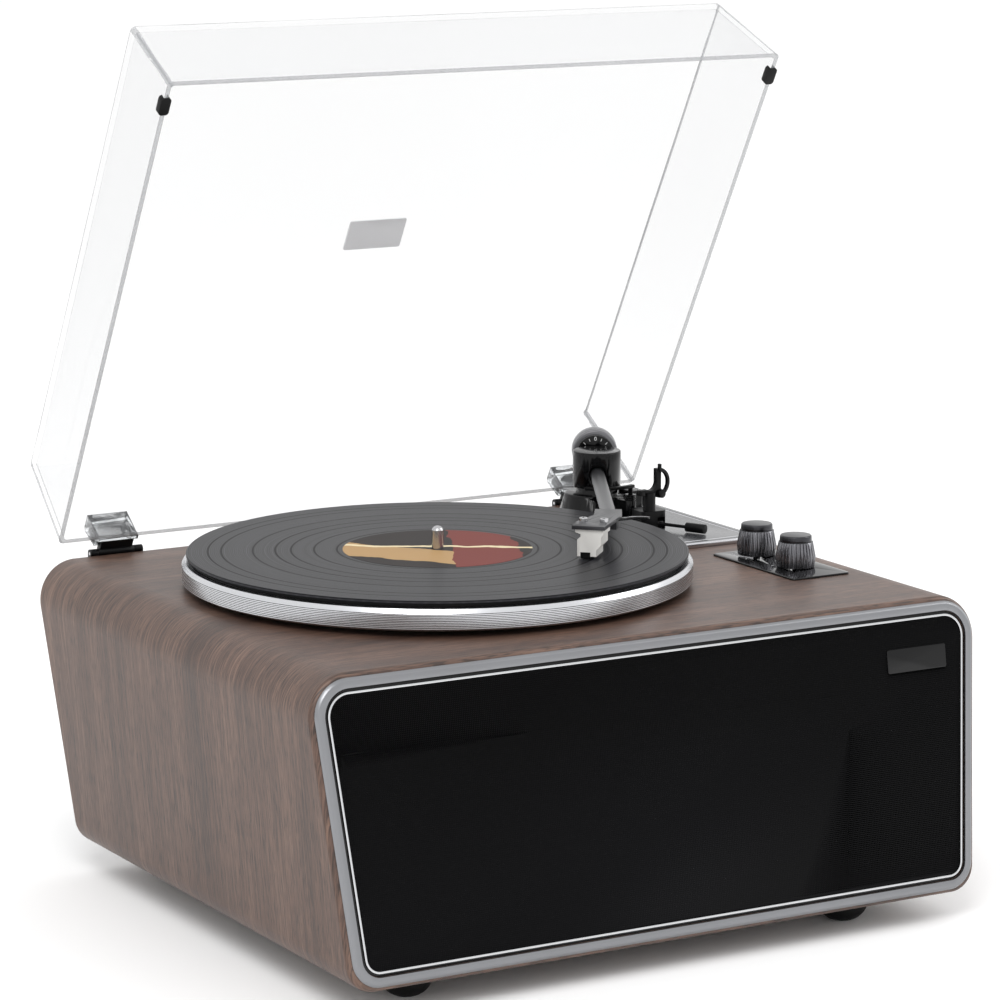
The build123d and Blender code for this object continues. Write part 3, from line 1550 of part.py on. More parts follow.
plate_drop = (3.5, 24)
hinge_plate_thickness = 3
with BuildPart() as hinge_bases:
    for side in (-1, 1):
        middle = side * hinge_spacing / 2
        with BuildSketch(rear_at(0)):
            with Locations((-middle, -(plate_drop[0] + plate_drop[1]) / 2 * slope)):
                Rectangle(hinge_width, (plate_drop[1] - plate_drop[0]) * slope)
        extrude(amount=hinge_plate_thickness)
        for end in (-1, 1):
            start = middle + end * (hinge_width - knuckle_width) / 2 - knuckle_width / 2
            with BuildSketch(Plane(origin=(start, hinge_y, hinge_z), x_dir=(0, 1, 0), z_dir=(1, 0, 0))):
                Circle(knuckle_radius)
                with Locations((0.9, -(plate_drop[0] + hinge_above_deck + 1) / 2)):
                    Rectangle(3.4, plate_drop[0] + hinge_above_deck + 1)
                Circle(hinge_pin_radius, mode=Mode.SUBTRACT)
            extrude(amount=knuckle_width)
export(hinge_bases, "hinge_bases")

with BuildPart() as hinge_pins:
    for side in (-1, 1):
        start = side * hinge_spacing / 2 - hinge_width / 2
        with BuildSketch(Plane(origin=(start, hinge_y, hinge_z), x_dir=(0, 1, 0), z_dir=(1, 0, 0))):
            Circle(hinge_pin_radius)
        extrude(amount=hinge_width)
export(hinge_pins, "hinge_pins")
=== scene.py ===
import json
import math

import bpy
from mathutils import Matrix, Vector


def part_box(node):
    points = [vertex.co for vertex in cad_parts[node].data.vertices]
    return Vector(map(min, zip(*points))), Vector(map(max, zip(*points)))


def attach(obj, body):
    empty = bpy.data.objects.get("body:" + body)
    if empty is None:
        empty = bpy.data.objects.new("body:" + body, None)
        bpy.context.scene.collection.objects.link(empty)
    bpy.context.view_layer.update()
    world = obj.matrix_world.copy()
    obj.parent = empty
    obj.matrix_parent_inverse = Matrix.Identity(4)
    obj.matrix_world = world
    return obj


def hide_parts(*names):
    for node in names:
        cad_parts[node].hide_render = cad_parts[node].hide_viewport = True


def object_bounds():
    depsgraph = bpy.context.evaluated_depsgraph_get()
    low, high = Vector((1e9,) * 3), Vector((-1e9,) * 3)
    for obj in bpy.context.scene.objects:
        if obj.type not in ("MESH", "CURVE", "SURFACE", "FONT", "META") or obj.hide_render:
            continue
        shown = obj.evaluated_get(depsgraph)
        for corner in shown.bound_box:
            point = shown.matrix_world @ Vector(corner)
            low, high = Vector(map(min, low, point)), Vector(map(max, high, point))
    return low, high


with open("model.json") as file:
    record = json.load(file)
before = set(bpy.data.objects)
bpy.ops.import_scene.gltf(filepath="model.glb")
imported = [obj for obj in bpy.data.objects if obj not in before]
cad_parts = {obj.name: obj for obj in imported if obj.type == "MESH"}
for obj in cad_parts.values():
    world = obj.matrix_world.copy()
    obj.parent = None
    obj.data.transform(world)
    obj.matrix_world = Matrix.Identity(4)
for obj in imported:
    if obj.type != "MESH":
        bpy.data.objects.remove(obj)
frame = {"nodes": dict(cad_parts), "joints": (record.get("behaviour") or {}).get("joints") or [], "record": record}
nodes = frame["nodes"]
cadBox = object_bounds()
bodyOf = {node: body for body, members in frame["record"]["behaviour"]["bodies"].items() for node in members}
jointOf = {joint["name"]: joint for joint in frame["joints"]}
print("frame loaded:", len(nodes), "nodes")

mm = 0.001


def middle(name):
    low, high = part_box(name)
    return (Vector(low) + Vector(high)) / 2


spindle = middle("spindle_shaft")
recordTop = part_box("record")[1][2]
recordCentre = Vector((spindle.x, spindle.y, recordTop))


def deselectAll():
    if bpy.context.object and bpy.context.object.mode != "OBJECT":
        bpy.ops.object.mode_set(mode="OBJECT")
    bpy.ops.object.select_all(action="DESELECT")


def makeActive(piece):
    deselectAll()
    piece.select_set(True)
    bpy.context.view_layer.objects.active = piece


def applyModifiers(piece):
    makeActive(piece)
    for modifier in list(piece.modifiers):
        bpy.ops.object.modifier_apply(modifier=modifier.name)


def applyPlace(piece):
    makeActive(piece)
    bpy.ops.object.transform_apply(location=True, rotation=True, scale=True)


def joinPieces(pieces, name):
    deselectAll()
    for piece in pieces:
        piece.select_set(True)
    bpy.context.view_layer.objects.active = pieces[0]
    if len(pieces) > 1:
        bpy.ops.object.join()
    pieces[0].name = name
    applyPlace(pieces[0])
    return pieces[0]


def nodeCopy(nodeName, pieceName):
    piece = nodes[nodeName].copy()
    piece.data = nodes[nodeName].data.copy()
    for key in list(piece.keys()):
        del piece[key]
    piece.parent = None
    piece.name = pieceName
    bpy.context.scene.collection.objects.link(piece)
    piece.hide_viewport = False
    piece.hide_render = False
    piece.hide_set(False)
    piece.data.materials.clear()
    makeActive(piece)
    bpy.ops.object.mode_set(mode="EDIT")
    bpy.ops.mesh.select_all(action="SELECT")
    bpy.ops.mesh.remove_doubles(threshold=0.000002)
    bpy.ops.mesh.normals_make_consistent(inside=False)
    bpy.ops.object.mode_set(mode="OBJECT")
    return piece


# A copy of a node whose sharp edges are rounded, as a mould or a file leaves them.
def softEdged(nodeName, edge, material, segments=2, angle=32):
    piece = nodeCopy(nodeName, nodeName + "_soft")
    bpy.ops.object.mode_set(mode="EDIT")
    bpy.ops.mesh.select_all(action="SELECT")
    bpy.ops.mesh.dissolve_limited(angle_limit=math.radians(0.5))
    bpy.ops.object.mode_set(mode="OBJECT")
    bevel = piece.modifiers.new("edges", "BEVEL")
    bevel.width = edge * mm
    bevel.segments = segments
    bevel.limit_method = "ANGLE"
    bevel.angle_limit = math.radians(angle)
    bevel.harden_normals = True
    applyModifiers(piece)
    bpy.ops.object.shade_smooth_by_angle(angle=math.radians(angle))
    piece.data.materials.append(material)
    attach(piece, bodyOf[nodeName])
    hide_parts(nodeName)
    return piece


def hexColour(text):
    channels = [int(text[i : i + 2], 16) / 255 for i in (1, 3, 5)]
    linear = [c / 12.92 if c <= 0.04045 else ((c + 0.055) / 1.055) ** 2.4 for c in channels]
    return (*linear, 1)


def addNode(tree, kind, settings=None, inputs=None):
    node = tree.nodes.new(kind)
    for name, value in (settings or {}).items():
        if name == "stops":
            ramp = node.color_ramp
            while len(ramp.elements) < len(value):
                ramp.elements.new(0.5)
            for element, (position, colour) in zip(ramp.elements, value):
                element.position = position
                element.color = colour
        else:
            setattr(node, name, value)
    for name, value in (inputs or {}).items():
        socket = node.inputs[name]
        if isinstance(value, bpy.types.NodeSocket):
            tree.links.new(value, socket)
        else:
            socket.default_value = value
    return node


def startMaterial(name, values):
    material = bpy.data.materials.new(name)
    material.use_nodes = True
    tree = material.node_tree
    shader = tree.nodes["Principled BSDF"]
    for socket, value in values.items():
        shader.inputs[socket].default_value = value
    place = addNode(tree, "ShaderNodeTexCoord").outputs["Object"]
    return material, tree, shader, place


def grey(level):
    return (level, level, level, 1)


# Walnut veneer, sliced and satin lacquered: dark pore lines along the grain over broad brown and
# grey-brown bands.
def walnutVeneer():
    finish = {"dark": "#291c16", "middle": "#563f34", "light": "#7d6253", "grain": 1.0, "rough": 0.45}
    material, tree, shader, place = startMaterial(
        "walnutVeneer", {"Coat Weight": 0.12, "Coat Roughness": 0.3}
    )
    # Low along X and Z, high along Y, so the grain runs across the top and turns down the sides.
    broad = addNode(tree, "ShaderNodeMapping", inputs={"Vector": place, "Scale": (2.2, 42, 2.2)})
    fine = addNode(tree, "ShaderNodeMapping", inputs={"Vector": place, "Scale": (15, 560, 15)})
    pores = addNode(tree, "ShaderNodeMapping", inputs={"Vector": place, "Scale": (95, 1500, 95)})
    waves = addNode(
        tree,
        "ShaderNodeTexNoise",
        inputs={"Vector": broad.outputs[0], "Scale": 1.0, "Detail": 4, "Distortion": 0.5},
    )
    lines = addNode(
        tree,
        "ShaderNodeTexNoise",
        inputs={"Vector": fine.outputs[0], "Scale": 1.0, "Detail": 7, "Roughness": 0.75},
    )
    dots = addNode(tree, "ShaderNodeTexNoise", inputs={"Vector": pores.outputs[0], "Scale": 1.0, "Detail": 2})
    mixed = addNode(
        tree,
        "ShaderNodeMix",
        {"data_type": "FLOAT"},
        {"Factor": 0.66, "A": waves.outputs["Fac"], "B": lines.outputs["Fac"]},
    )
    colour = addNode(
        tree,
        "ShaderNodeValToRGB",
        {
            "stops": [
                (0.33, hexColour(finish["dark"])),
                (0.5, hexColour(finish["middle"])),
                (0.66, hexColour(finish["light"])),
            ]
        },
        {"Fac": mixed.outputs["Result"]},
    )
    poreShade = addNode(
        tree,
        "ShaderNodeValToRGB",
        {"stops": [(0.36, grey(0.34)), (0.5, grey(1))]},
        {"Fac": dots.outputs["Fac"]},
    )
    shaded = addNode(
        tree,
        "ShaderNodeMix",
        {"data_type": "RGBA", "blend_type": "MULTIPLY"},
        {"Factor": finish["grain"], "A": colour.outputs["Color"], "B": poreShade.outputs["Color"]},
    )
    bump = addNode(
        tree,
        "ShaderNodeBump",
        inputs={"Height": poreShade.outputs["Color"], "Strength": 0.25, "Distance": 0.0001},
    )
    rough = addNode(
        tree,
        "ShaderNodeMapRange",
        inputs={"Value": lines.outputs["Fac"], "To Min": finish["rough"] - 0.06, "To Max": finish["rough"] + 0.1},
    )
    tree.links.new(shaded.outputs["Result"], shader.inputs["Base Color"])
    tree.links.new(rough.outputs["Result"], shader.inputs["Roughness"])
    tree.links.new(bump.outputs["Normal"], shader.inputs["Normal"])
    return material


# Any plain surface with a fine skin: moulded, cast, painted, blasted or brushed, by its grain and stretch.
def skinned(name, hexText, rough, grain, stretch=(1, 1, 1), bumpHeight=0.02, variation=0.12, values=None):
    material, tree, shader, place = startMaterial(name, values or {})
    scale = 1 / (grain * mm)
    spread = addNode(
        tree, "ShaderNodeMapping", inputs={"Vector": place, "Scale": tuple(scale * part for part in stretch)}
    )
    noise = addNode(
        tree, "ShaderNodeTexNoise", inputs={"Vector": spread.outputs[0], "Scale": 1.0, "Detail": 3}
    )
    cloud = addNode(tree, "ShaderNodeTexNoise", inputs={"Vector": place, "Scale": 24.0, "Detail": 2})
    base = hexColour(hexText)
    dim = tuple(c * (1 - variation) for c in base[:3]) + (1,)
    colour = addNode(
        tree, "ShaderNodeMix", {"data_type": "RGBA"}, {"Factor": cloud.outputs["Fac"], "A": dim, "B": base}
    )
    rougher = addNode(
        tree,
        "ShaderNodeMapRange",
        inputs={"Value": noise.outputs["Fac"], "To Min": rough * 0.85, "To Max": min(1, rough * 1.15)},
    )
    bump = addNode(
        tree,
        "ShaderNodeBump",
        inputs={"Height": noise.outputs["Fac"], "Strength": 0.3, "Distance": bumpHeight * mm},
    )
    tree.links.new(colour.outputs["Result"], shader.inputs["Base Color"])
    tree.links.new(rougher.outputs["Result"], shader.inputs["Roughness"])
    tree.links.new(bump.outputs["Normal"], shader.inputs["Normal"])
    return material


# Distance from the spindle, for what is turned or pressed round it.
def radiusFromSpindle(tree, place):
    centred = addNode(
        tree, "ShaderNodeVectorMath", {"operation": "SUBTRACT"}, {0: place, 1: tuple(recordCentre)}
    )
    flat = addNode(
        tree, "ShaderNodeVectorMath", {"operation": "MULTIPLY"}, {0: centred.outputs[0], 1: (1, 1, 0)}
    )
    return addNode(tree, "ShaderNodeVectorMath", {"operation": "LENGTH"}, {0: flat.outputs[0]}).outputs["Value"]


# Pressed vinyl: near black and glossy; the shine its grooves break into rings is painted sheen, grey rings in the
# base colour, and the smooth bands between tracks stay dark.
def pressedVinyl():
    finish = {"groovePitch": 1.1, "tracks": (60.4, 74.2, 87.9, 97.5, 110.8, 129.7, 137.7), "bandWidth": 0.6}
    material, tree, shader, place = startMaterial("pressedVinyl", {"IOR": 1.53, "Specular IOR Level": 0.06})
    radius = radiusFromSpindle(tree, place)
    # The real pitch is 0.1 mm; it is drawn coarser so that it shows.
    along = addNode(
        tree,
        "ShaderNodeMath",
        {"operation": "MULTIPLY"},
        {0: radius, 1: 2 * math.pi / (finish["groovePitch"] * mm)},
    )
    ring = addNode(tree, "ShaderNodeMath", {"operation": "SINE"}, {0: along.outputs[0]})
    loudness = addNode(
        tree,
        "ShaderNodeTexNoise",
        {"noise_dimensions": "1D"},
        {"W": radius, "Scale": 700.0, "Detail": 5, "Roughness": 0.8},
    )
    grooved = 1.0
    for track in finish["tracks"]:
        band = addNode(
            tree,
            "ShaderNodeMath",
            {"operation": "COMPARE"},
            {0: radius, 1: track * mm, 2: finish["bandWidth"] * mm},
        ).outputs[0]
        grooved = addNode(tree, "ShaderNodeMath", {"operation": "SUBTRACT"}, {0: grooved, 1: band}).outputs[0]
    groove = addNode(
        tree,
        "ShaderNodeMath",
        {"operation": "MULTIPLY_ADD"},
        {0: ring.outputs[0], 1: 0.25, 2: loudness.outputs["Fac"]},
    )
    height = addNode(tree, "ShaderNodeMath", {"operation": "MULTIPLY"}, {0: groove.outputs[0], 1: grooved})
    # Painted sheen: the grooved rings run from near black to mid grey, standing in for the light the grooves
    # scatter.
    colour = addNode(
        tree,
        "ShaderNodeValToRGB",
        {"stops": [(0.1, hexColour("#040405")), (0.42, hexColour("#131315")), (0.85, hexColour("#47474b"))]},
        {"Fac": height.outputs[0]},
    )
    rough = addNode(tree, "ShaderNodeMapRange", inputs={"Value": grooved, "To Min": 0.44, "To Max": 0.34})
    bump = addNode(
        tree, "ShaderNodeBump", inputs={"Height": height.outputs[0], "Strength": 0.3, "Distance": 0.0001}
    )
    tree.links.new(colour.outputs["Color"], shader.inputs["Base Color"])
    tree.links.new(rough.outputs["Result"], shader.inputs["Roughness"])
    tree.links.new(bump.outputs["Normal"], shader.inputs["Normal"])
    return material


# Printed paper label: matt, dark brown with a gold field on one side, a red one on the other and a cream
# stripe.
def printedLabel():
    finish = {"ground": "#1b1310", "gold": "#a8875a", "red": "#6d2a22", "cream": "#d8c9a4", "wobble": 12}
    material, tree, shader, place = startMaterial(
        "printedLabel", {"Roughness": 0.5, "Specular IOR Level": 0.12}
    )
    centred = addNode(
        tree, "ShaderNodeVectorMath", {"operation": "SUBTRACT"}, {0: place, 1: tuple(recordCentre)}
    )
    wobble = addNode(tree, "ShaderNodeTexNoise", inputs={"Vector": place, "Scale": 40.0, "Detail": 3})
    printed = hexColour(finish["ground"])
    # Each field is a band: direction across it, where its middle lies and half its width, in millimetres.
    fields = (
        ((0.8, 0.6, 0), -22, 17, "gold"),
        ((0.9, -0.43, 0), 28, 20, "red"),
        ((0.55, 0.83, 0), 6, 2.2, "cream"),
    )
    for across, centre, half, ink in fields:
        distance = addNode(
            tree,
            "ShaderNodeVectorMath",
            {"operation": "DOT_PRODUCT"},
            {0: centred.outputs[0], 1: across},
        )
        bent = addNode(
            tree,
            "ShaderNodeMath",
            {"operation": "MULTIPLY_ADD"},
            {0: wobble.outputs["Fac"], 1: finish["wobble"] * mm, 2: distance.outputs["Value"]},
        )
        # The wobble moves a band by half its width on average, so the middle moves too.
        bandMiddle = (centre + finish["wobble"] / 2) * mm
        inside = addNode(
            tree,
            "ShaderNodeMath",
            {"operation": "COMPARE"},
            {0: bent.outputs[0], 1: bandMiddle, 2: half * mm},
        )
        printed = addNode(
            tree,
            "ShaderNodeMix",
            {"data_type": "RGBA"},
            {"Factor": inside.outputs[0], "A": printed, "B": hexColour(finish[ink])},
        ).outputs["Result"]
    fibres = addNode(tree, "ShaderNodeTexNoise", inputs={"Vector": place, "Scale": 900.0, "Detail": 4})
    bump = addNode(
        tree, "ShaderNodeBump", inputs={"Height": fibres.outputs["Fac"], "Strength": 0.2, "Distance": 0.00005}
    )
    tree.links.new(printed, shader.inputs["Base Color"])
    tree.links.new(bump.outputs["Normal"], shader.inputs["Normal"])
    return material


# The platter's side in millimetres: how many ribs, the plain ledge above them and the foot below.
platterRim = {"ribs": 9, "ledge": 2.6, "foot": 1}


# Turned aluminium: bright, with fine lathe lines round the spindle and painted shade in the gaps between the side's
# ribs.
def turnedAluminium():
    # The groove colour is painted shade for the gaps between the side's ribs.
    finish = {"hex": "#cfd0d3", "groove": "#2c2c2e", "linePitch": 0.5, "rough": 0.24, "ribShare": 0.64}
    material, tree, shader, place = startMaterial(
        "turnedAluminium", {"Metallic": 1.0, "Roughness": finish["rough"]}
    )
    radius = radiusFromSpindle(tree, place)
    height = addNode(tree, "ShaderNodeSeparateXYZ", inputs={0: place}).outputs["Z"]
    along = addNode(tree, "ShaderNodeMath", {"operation": "ADD"}, {0: radius, 1: height})
    lines = addNode(
        tree,
        "ShaderNodeTexNoise",
        {"noise_dimensions": "1D"},
        {"W": along.outputs[0], "Scale": 1 / (finish["linePitch"] * mm), "Detail": 2},
    )
    rough = addNode(
        tree,
        "ShaderNodeMapRange",
        inputs={"Value": lines.outputs["Fac"], "To Min": finish["rough"] - 0.08, "To Max": finish["rough"] + 0.12},
    )
    bump = addNode(
        tree, "ShaderNodeBump", inputs={"Height": lines.outputs["Fac"], "Strength": 0.2, "Distance": 0.00004}
    )
    # Painted shade: the gaps between the rim's ribs are coloured dark grey, as if in shadow.
    low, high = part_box("platter")
    ribPitch = (high[2] - low[2] - (platterRim["ledge"] + platterRim["foot"]) * mm) / platterRim["ribs"]
    turn = addNode(
        tree,
        "ShaderNodeMath",
        {"operation": "MULTIPLY_ADD"},
        {0: height, 1: 1 / ribPitch, 2: -(low[2] + platterRim["foot"] * mm) / ribPitch},
    )
    part = addNode(tree, "ShaderNodeMath", {"operation": "FRACT"}, {0: turn.outputs[0]})
    gap = addNode(
        tree,
        "ShaderNodeMath",
        {"operation": "GREATER_THAN"},
        {0: part.outputs[0], 1: finish["ribShare"]},
    )
    below = addNode(
        tree,
        "ShaderNodeMath",
        {"operation": "LESS_THAN"},
        {0: turn.outputs[0], 1: platterRim["ribs"]},
    )
    paintedRibGapShade = addNode(
        tree, "ShaderNodeMath", {"operation": "MULTIPLY"}, {0: gap.outputs[0], 1: below.outputs[0]}
    )
    colour = addNode(
        tree,
        "ShaderNodeMix",
        {"data_type": "RGBA"},
        {"Factor": paintedRibGapShade.outputs[0], "A": hexColour(finish["hex"]), "B": hexColour(finish["groove"])},
    )
    tree.links.new(colour.outputs["Result"], shader.inputs["Base Color"])
    tree.links.new(rough.outputs["Result"], shader.inputs["Roughness"])
    tree.links.new(bump.outputs["Normal"], shader.inputs["Normal"])
    return material


# Woven polyester speaker cloth: matt black, plain weave; the threads are drawn coarser than the real 0.5 mm.
def wovenCloth():
    finish = {"pitch": 1.15, "thread": "#0f0f11", "gap": "#020203"}
    material, tree, shader = startMaterial("wovenCloth", {"Roughness": 0.8, "Specular IOR Level": 0.1})[:3]
    uv = addNode(tree, "ShaderNodeUVMap", {"uv_map": "weave"}).outputs["UV"]
    turn = addNode(
        tree,
        "ShaderNodeVectorMath",
        {"operation": "SCALE"},
        {0: uv, "Scale": math.pi / (finish["pitch"] * mm)},
    )
    parts = addNode(tree, "ShaderNodeSeparateXYZ", inputs={0: turn.outputs[0]})
    warp = addNode(tree, "ShaderNodeMath", {"operation": "SINE"}, {0: parts.outputs["X"]})
    weft = addNode(tree, "ShaderNodeMath", {"operation": "SINE"}, {0: parts.outputs["Y"]})
    crossing = addNode(
        tree, "ShaderNodeMath", {"operation": "MULTIPLY"}, {0: warp.outputs[0], 1: weft.outputs[0]}
    )
    raised = addNode(tree, "ShaderNodeMath", {"operation": "ABSOLUTE"}, {0: crossing.outputs[0]})
    colour = addNode(
        tree,
        "ShaderNodeValToRGB",
        {"stops": [(0.05, hexColour(finish["gap"])), (0.6, hexColour(finish["thread"]))]},
        {"Fac": raised.outputs[0]},
    )
    bump = addNode(
        tree, "ShaderNodeBump", inputs={"Height": raised.outputs[0], "Strength": 0.6, "Distance": 0.0003}
    )
    tree.links.new(colour.outputs["Color"], shader.inputs["Base Color"])
    tree.links.new(bump.outputs["Normal"], shader.inputs["Normal"])
    return material


# Clear acrylic sheet, 3 mm: almost unseen face on; where a wall is seen edge on, its reflection is painted in as a
# faint grey.
def clearSheet(name, hexText, alpha):
    material, tree, shader, place = startMaterial(
        name, {"Base Color": hexColour(hexText), "Roughness": 0.03, "IOR": 1.49}
    )
    haze = addNode(tree, "ShaderNodeTexNoise", inputs={"Vector": place, "Scale": 9.0, "Detail": 2})
    clear = addNode(
        tree,
        "ShaderNodeMapRange",
        inputs={"Value": haze.outputs["Fac"], "To Min": alpha * 0.9, "To Max": alpha * 1.1},
    )
    tree.links.new(clear.outputs["Result"], shader.inputs["Alpha"])
    return material


# Moulded clear acrylic, thick enough to bend what is seen through it.
def mouldedAcrylic():
    material, tree, shader, place = startMaterial(
        "mouldedAcrylic",
        {"Base Color": hexColour("#e9ecee"), "Roughness": 0.02, "IOR": 1.49, "Transmission Weight": 1.0},
    )
    haze = addNode(tree, "ShaderNodeTexNoise", inputs={"Vector": place, "Scale": 60.0, "Detail": 2})
    bump = addNode(
        tree, "ShaderNodeBump", inputs={"Height": haze.outputs["Fac"], "Strength": 0.05, "Distance": 0.0003}
    )
    tree.links.new(bump.outputs["Normal"], shader.inputs["Normal"])
    return material


walnut = walnutVeneer()
vinyl = pressedVinyl()
label = printedLabel()
platterMetal = turnedAluminium()
cloth = wovenCloth()
acrylic = clearSheet("clearAcrylic", "#c3c5c7", 0.06)
# Painted light: the sheet's cut and bent edges gather light and read as thin grey lines, painted in as this grey.
acrylicPaintedEdgeLines = clearSheet("clearAcrylicPaintedEdgeLines", "#8f9194", 0.6)
# Painted reflection: a faint grey for the cover's walls, seen edge on.
acrylicWallPaintedReflection = clearSheet("clearAcrylicWallPaintedReflection", "#b9bbbe", 0.1)
socketAcrylic = mouldedAcrylic()
# Painted shade: dark lines on the moulding's edges, which bend the light away and read as dark outlines.
socketPaintedShade = clearSheet("clearAcrylicPaintedShade", "#1c1d1f", 0.85)
# Anodised aluminium extrusion, bead blasted: even satin grey.
trimMetal = skinned("anodisedAluminium", "#8f9093", 0.36, 0.3, values={"Metallic": 1.0})
# Brushed aluminium sheet, lacquered: fine lines along the cabinet's width.
badgeMetal = skinned("brushedAluminium", "#dedee0", 0.5, 0.4, (0.03, 1, 1), values={"Metallic": 0.1})
# Chromed plastic bead.
beadChrome = skinned("chromedBead", "#d4d5d7", 0.14, 0.6, bumpHeight=0.004, values={"Metallic": 1.0})
# Moulded ABS with a fine spark texture: satin black.
mouldedAbs = skinned(
    "mouldedAbs", "#070708", 0.34, 0.35, bumpHeight=0.03, values={"Specular IOR Level": 0.16}
)
# Polished ABS: deep black with clear reflections.
polishedAbs = skinned(
    "polishedAbs", "#040405", 0.14, 0.8, bumpHeight=0.004, values={"Specular IOR Level": 0.26}
)
# Black anodised aluminium, turned: dark, with bright ridges.
blackAnodised = skinned("blackAnodised", "#7c7c80", 0.26, 0.3, bumpHeight=0.006, values={"Metallic": 1.0})
# The same anodising, darker, on the knob's turned top cap.
darkAnodised = skinned("darkAnodised", "#47474a", 0.3, 0.3, bumpHeight=0.01, values={"Metallic": 1.0})
# Mirror-moulded ABS: gloss black.
glossAbs = skinned(
    "glossAbs", "#050506", 0.08, 4, bumpHeight=0.002, variation=0.05, values={"Specular IOR Level": 0.3}
)
# White ABS, moulded smooth.
whiteAbs = skinned("whiteAbs", "#d8d6d2", 0.38, 0.3, bumpHeight=0.02, variation=0.05)
# Powder-coated steel in dark grey: a fine even orange peel.
coatedSteel = skinned("coatedSteel", "#3a3a3d", 0.32, 0.5, bumpHeight=0.02, values={"Metallic": 0.5})
# The counterweight's lighter grey coat.
greySteel = skinned("greyCoatedSteel", "#6f6f72", 0.3, 0.5, bumpHeight=0.01, values={"Metallic": 0.4})
# Grey satin paint over the tonearm's deck plate.
platePaint = skinned("satinPaint", "#58595c", 0.22, 0.4, bumpHeight=0.008, values={"Metallic": 0.5})
# The plate's cut and polished border.
plateEdge = skinned("polishedAluminium", "#cfcfd2", 0.16, 0.4, bumpHeight=0.004, values={"Metallic": 1.0})
# Turned and plated steel.
platedSteel = skinned("platedSteel", "#c2c2c4", 0.22, 0.5, bumpHeight=0.01, values={"Metallic": 1.0})
# Nitrile rubber: deep matt black.
nitrileRubber = skinned(
    "nitrileRubber", "#070708", 0.6, 0.5, bumpHeight=0.04, values={"Specular IOR Level": 0.25}
)
# Pressed paper cone, doped black.
paperPulp = skinned("paperPulp", "#161616", 0.75, 1.2, bumpHeight=0.1)
# Fibreboard under black paint.
paintedBoard = skinned("paintedBoard", "#161617", 0.6, 0.8, bumpHeight=0.05)
# Bare fibreboard: warm and matt.
fibreboard = skinned("fibreboard", "#8c6f4c", 0.8, 1.0, bumpHeight=0.08, variation=0.25)
# Glass-epoxy board under green solder mask.
solderMask = skinned("solderMask", "#0f4a26", 0.35, 1.5, bumpHeight=0.03)
# Turned brass.
turnedBrass = skinned("turnedBrass", "#b08d4a", 0.3, 0.5, bumpHeight=0.01, values={"Metallic": 1.0})
# White pad-printing ink.
padInk = skinned("padInk", "#d9d9d9", 0.5, 0.2, bumpHeight=0.005, variation=0.03)
print("materials made")

finishOf = {
    "cabinet_wrap": walnut,
    "record": vinyl,
    "record_label": label,
    "platter": platterMetal,
    "front_trim": trimMetal,
    "front_badge": glossAbs,
    "lid_badge": badgeMetal,
    "tonearm_plate": platePaint,
    "cartridge": whiteAbs,
    "arm_tube": coatedSteel,
    "headshell": coatedSteel,
    "control_plate": glossAbs,
    "finger_lift": glossAbs,
    "grille_frame": glossAbs,
    "lid": acrylic,
    "hinge_sockets": socketAcrylic,
    "rear_panel": paintedBoard,
    "speaker_baffle": fibreboard,
    "amplifier_board": solderMask,
    "bearing_housing": turnedBrass,
    "woofer_cones": paperPulp,
    "feet": nitrileRubber,
    "platter_mat": nitrileRubber,
    "drive_belt": nitrileRubber,
    "lid_bumpers": nitrileRubber,
    "spindle_shaft": platedSteel,
    "motor": platedSteel,
    "motor_pulley": turnedBrass,
    "cartridge_screws": platedSteel,
    "rear_panel_screws": platedSteel,
    "hinge_pins": platedSteel,
    "pitch_pins": platedSteel,
    "counterweight": greySteel,
    "turret": polishedAbs,
    "tonearm_base": polishedAbs,
    "dial_ring": polishedAbs,
    "volume_knob": blackAnodised,
    "selector_knob": blackAnodised,
    "rca_sockets": platedSteel,
}
for nodeName, node in nodes.items():
    node.data.materials.clear()
    node.data.materials.append(finishOf.get(nodeName, mouldedAbs))
    makeActive(node)
    bpy.ops.object.shade_smooth_by_angle(angle=math.radians(30))

# Edge radii in millimetres, as each piece's making leaves them.
edgeOf = {
    "front_trim": 0.35,
    "lid": 0.4,
    "hinge_sockets": 0.5,
    "control_plate": 0.25,
    "tonearm_plate": 0.25,
    "tonearm_base": 0.5,
    "turret": 0.4,
    "headshell": 0.3,
    "cartridge": 0.3,
    "armrest": 0.4,
    "armrest_latch": 0.3,
    "cue_lever": 0.4,
    "lift_platform": 0.3,
    "antiskate_knob": 0.2,
    "counterweight": 0.3,
    "dial_ring": 0.3,
    "finger_lift": 0.4,
    "lid_bumpers": 0.5,
    "hinge_bases": 0.4,
    "hinge_leaves": 0.4,
    "front_badge": 0.2,
    "power_rocker": 0.4,
    "grille_frame": 0.35,
    "volume_knob": 0.12,
    "selector_knob": 0.12,
}
softPieces = {}
for nodeName, edge in edgeOf.items():
    softPieces[nodeName] = softEdged(nodeName, edge, finishOf.get(nodeName, mouldedAbs))

# How far the front leans back, and how far the cover stands open.
frontLean = math.radians(8.5)
coverOpen = math.radians(60.6)
# Out of the leaning front, and out of the open cover's rim and along its depth.
outOfFront = Vector((0, -1, math.tan(frontLean))).normalized()
openTurn = Matrix.Rotation(-coverOpen, 3, "X")
outOfRim = openTurn @ Vector((0, 0, -1))
coverWays = (Vector((1, 0, 0)), openTurn @ Vector((0, 1, 0)), outOfRim)


# How deep each further material reaches, in millimetres, the least face it takes, in square millimetres, and
# how far a bent face turns, in degrees.
dressed = {
    "bead": 0.8,
    "rim": 0.6,
    "hingedEnd": 14,
    "plateBorder": 2.2,
    "leastFace": 0.2,
    "knobCap": 4.2,
    "bend": 20,
}


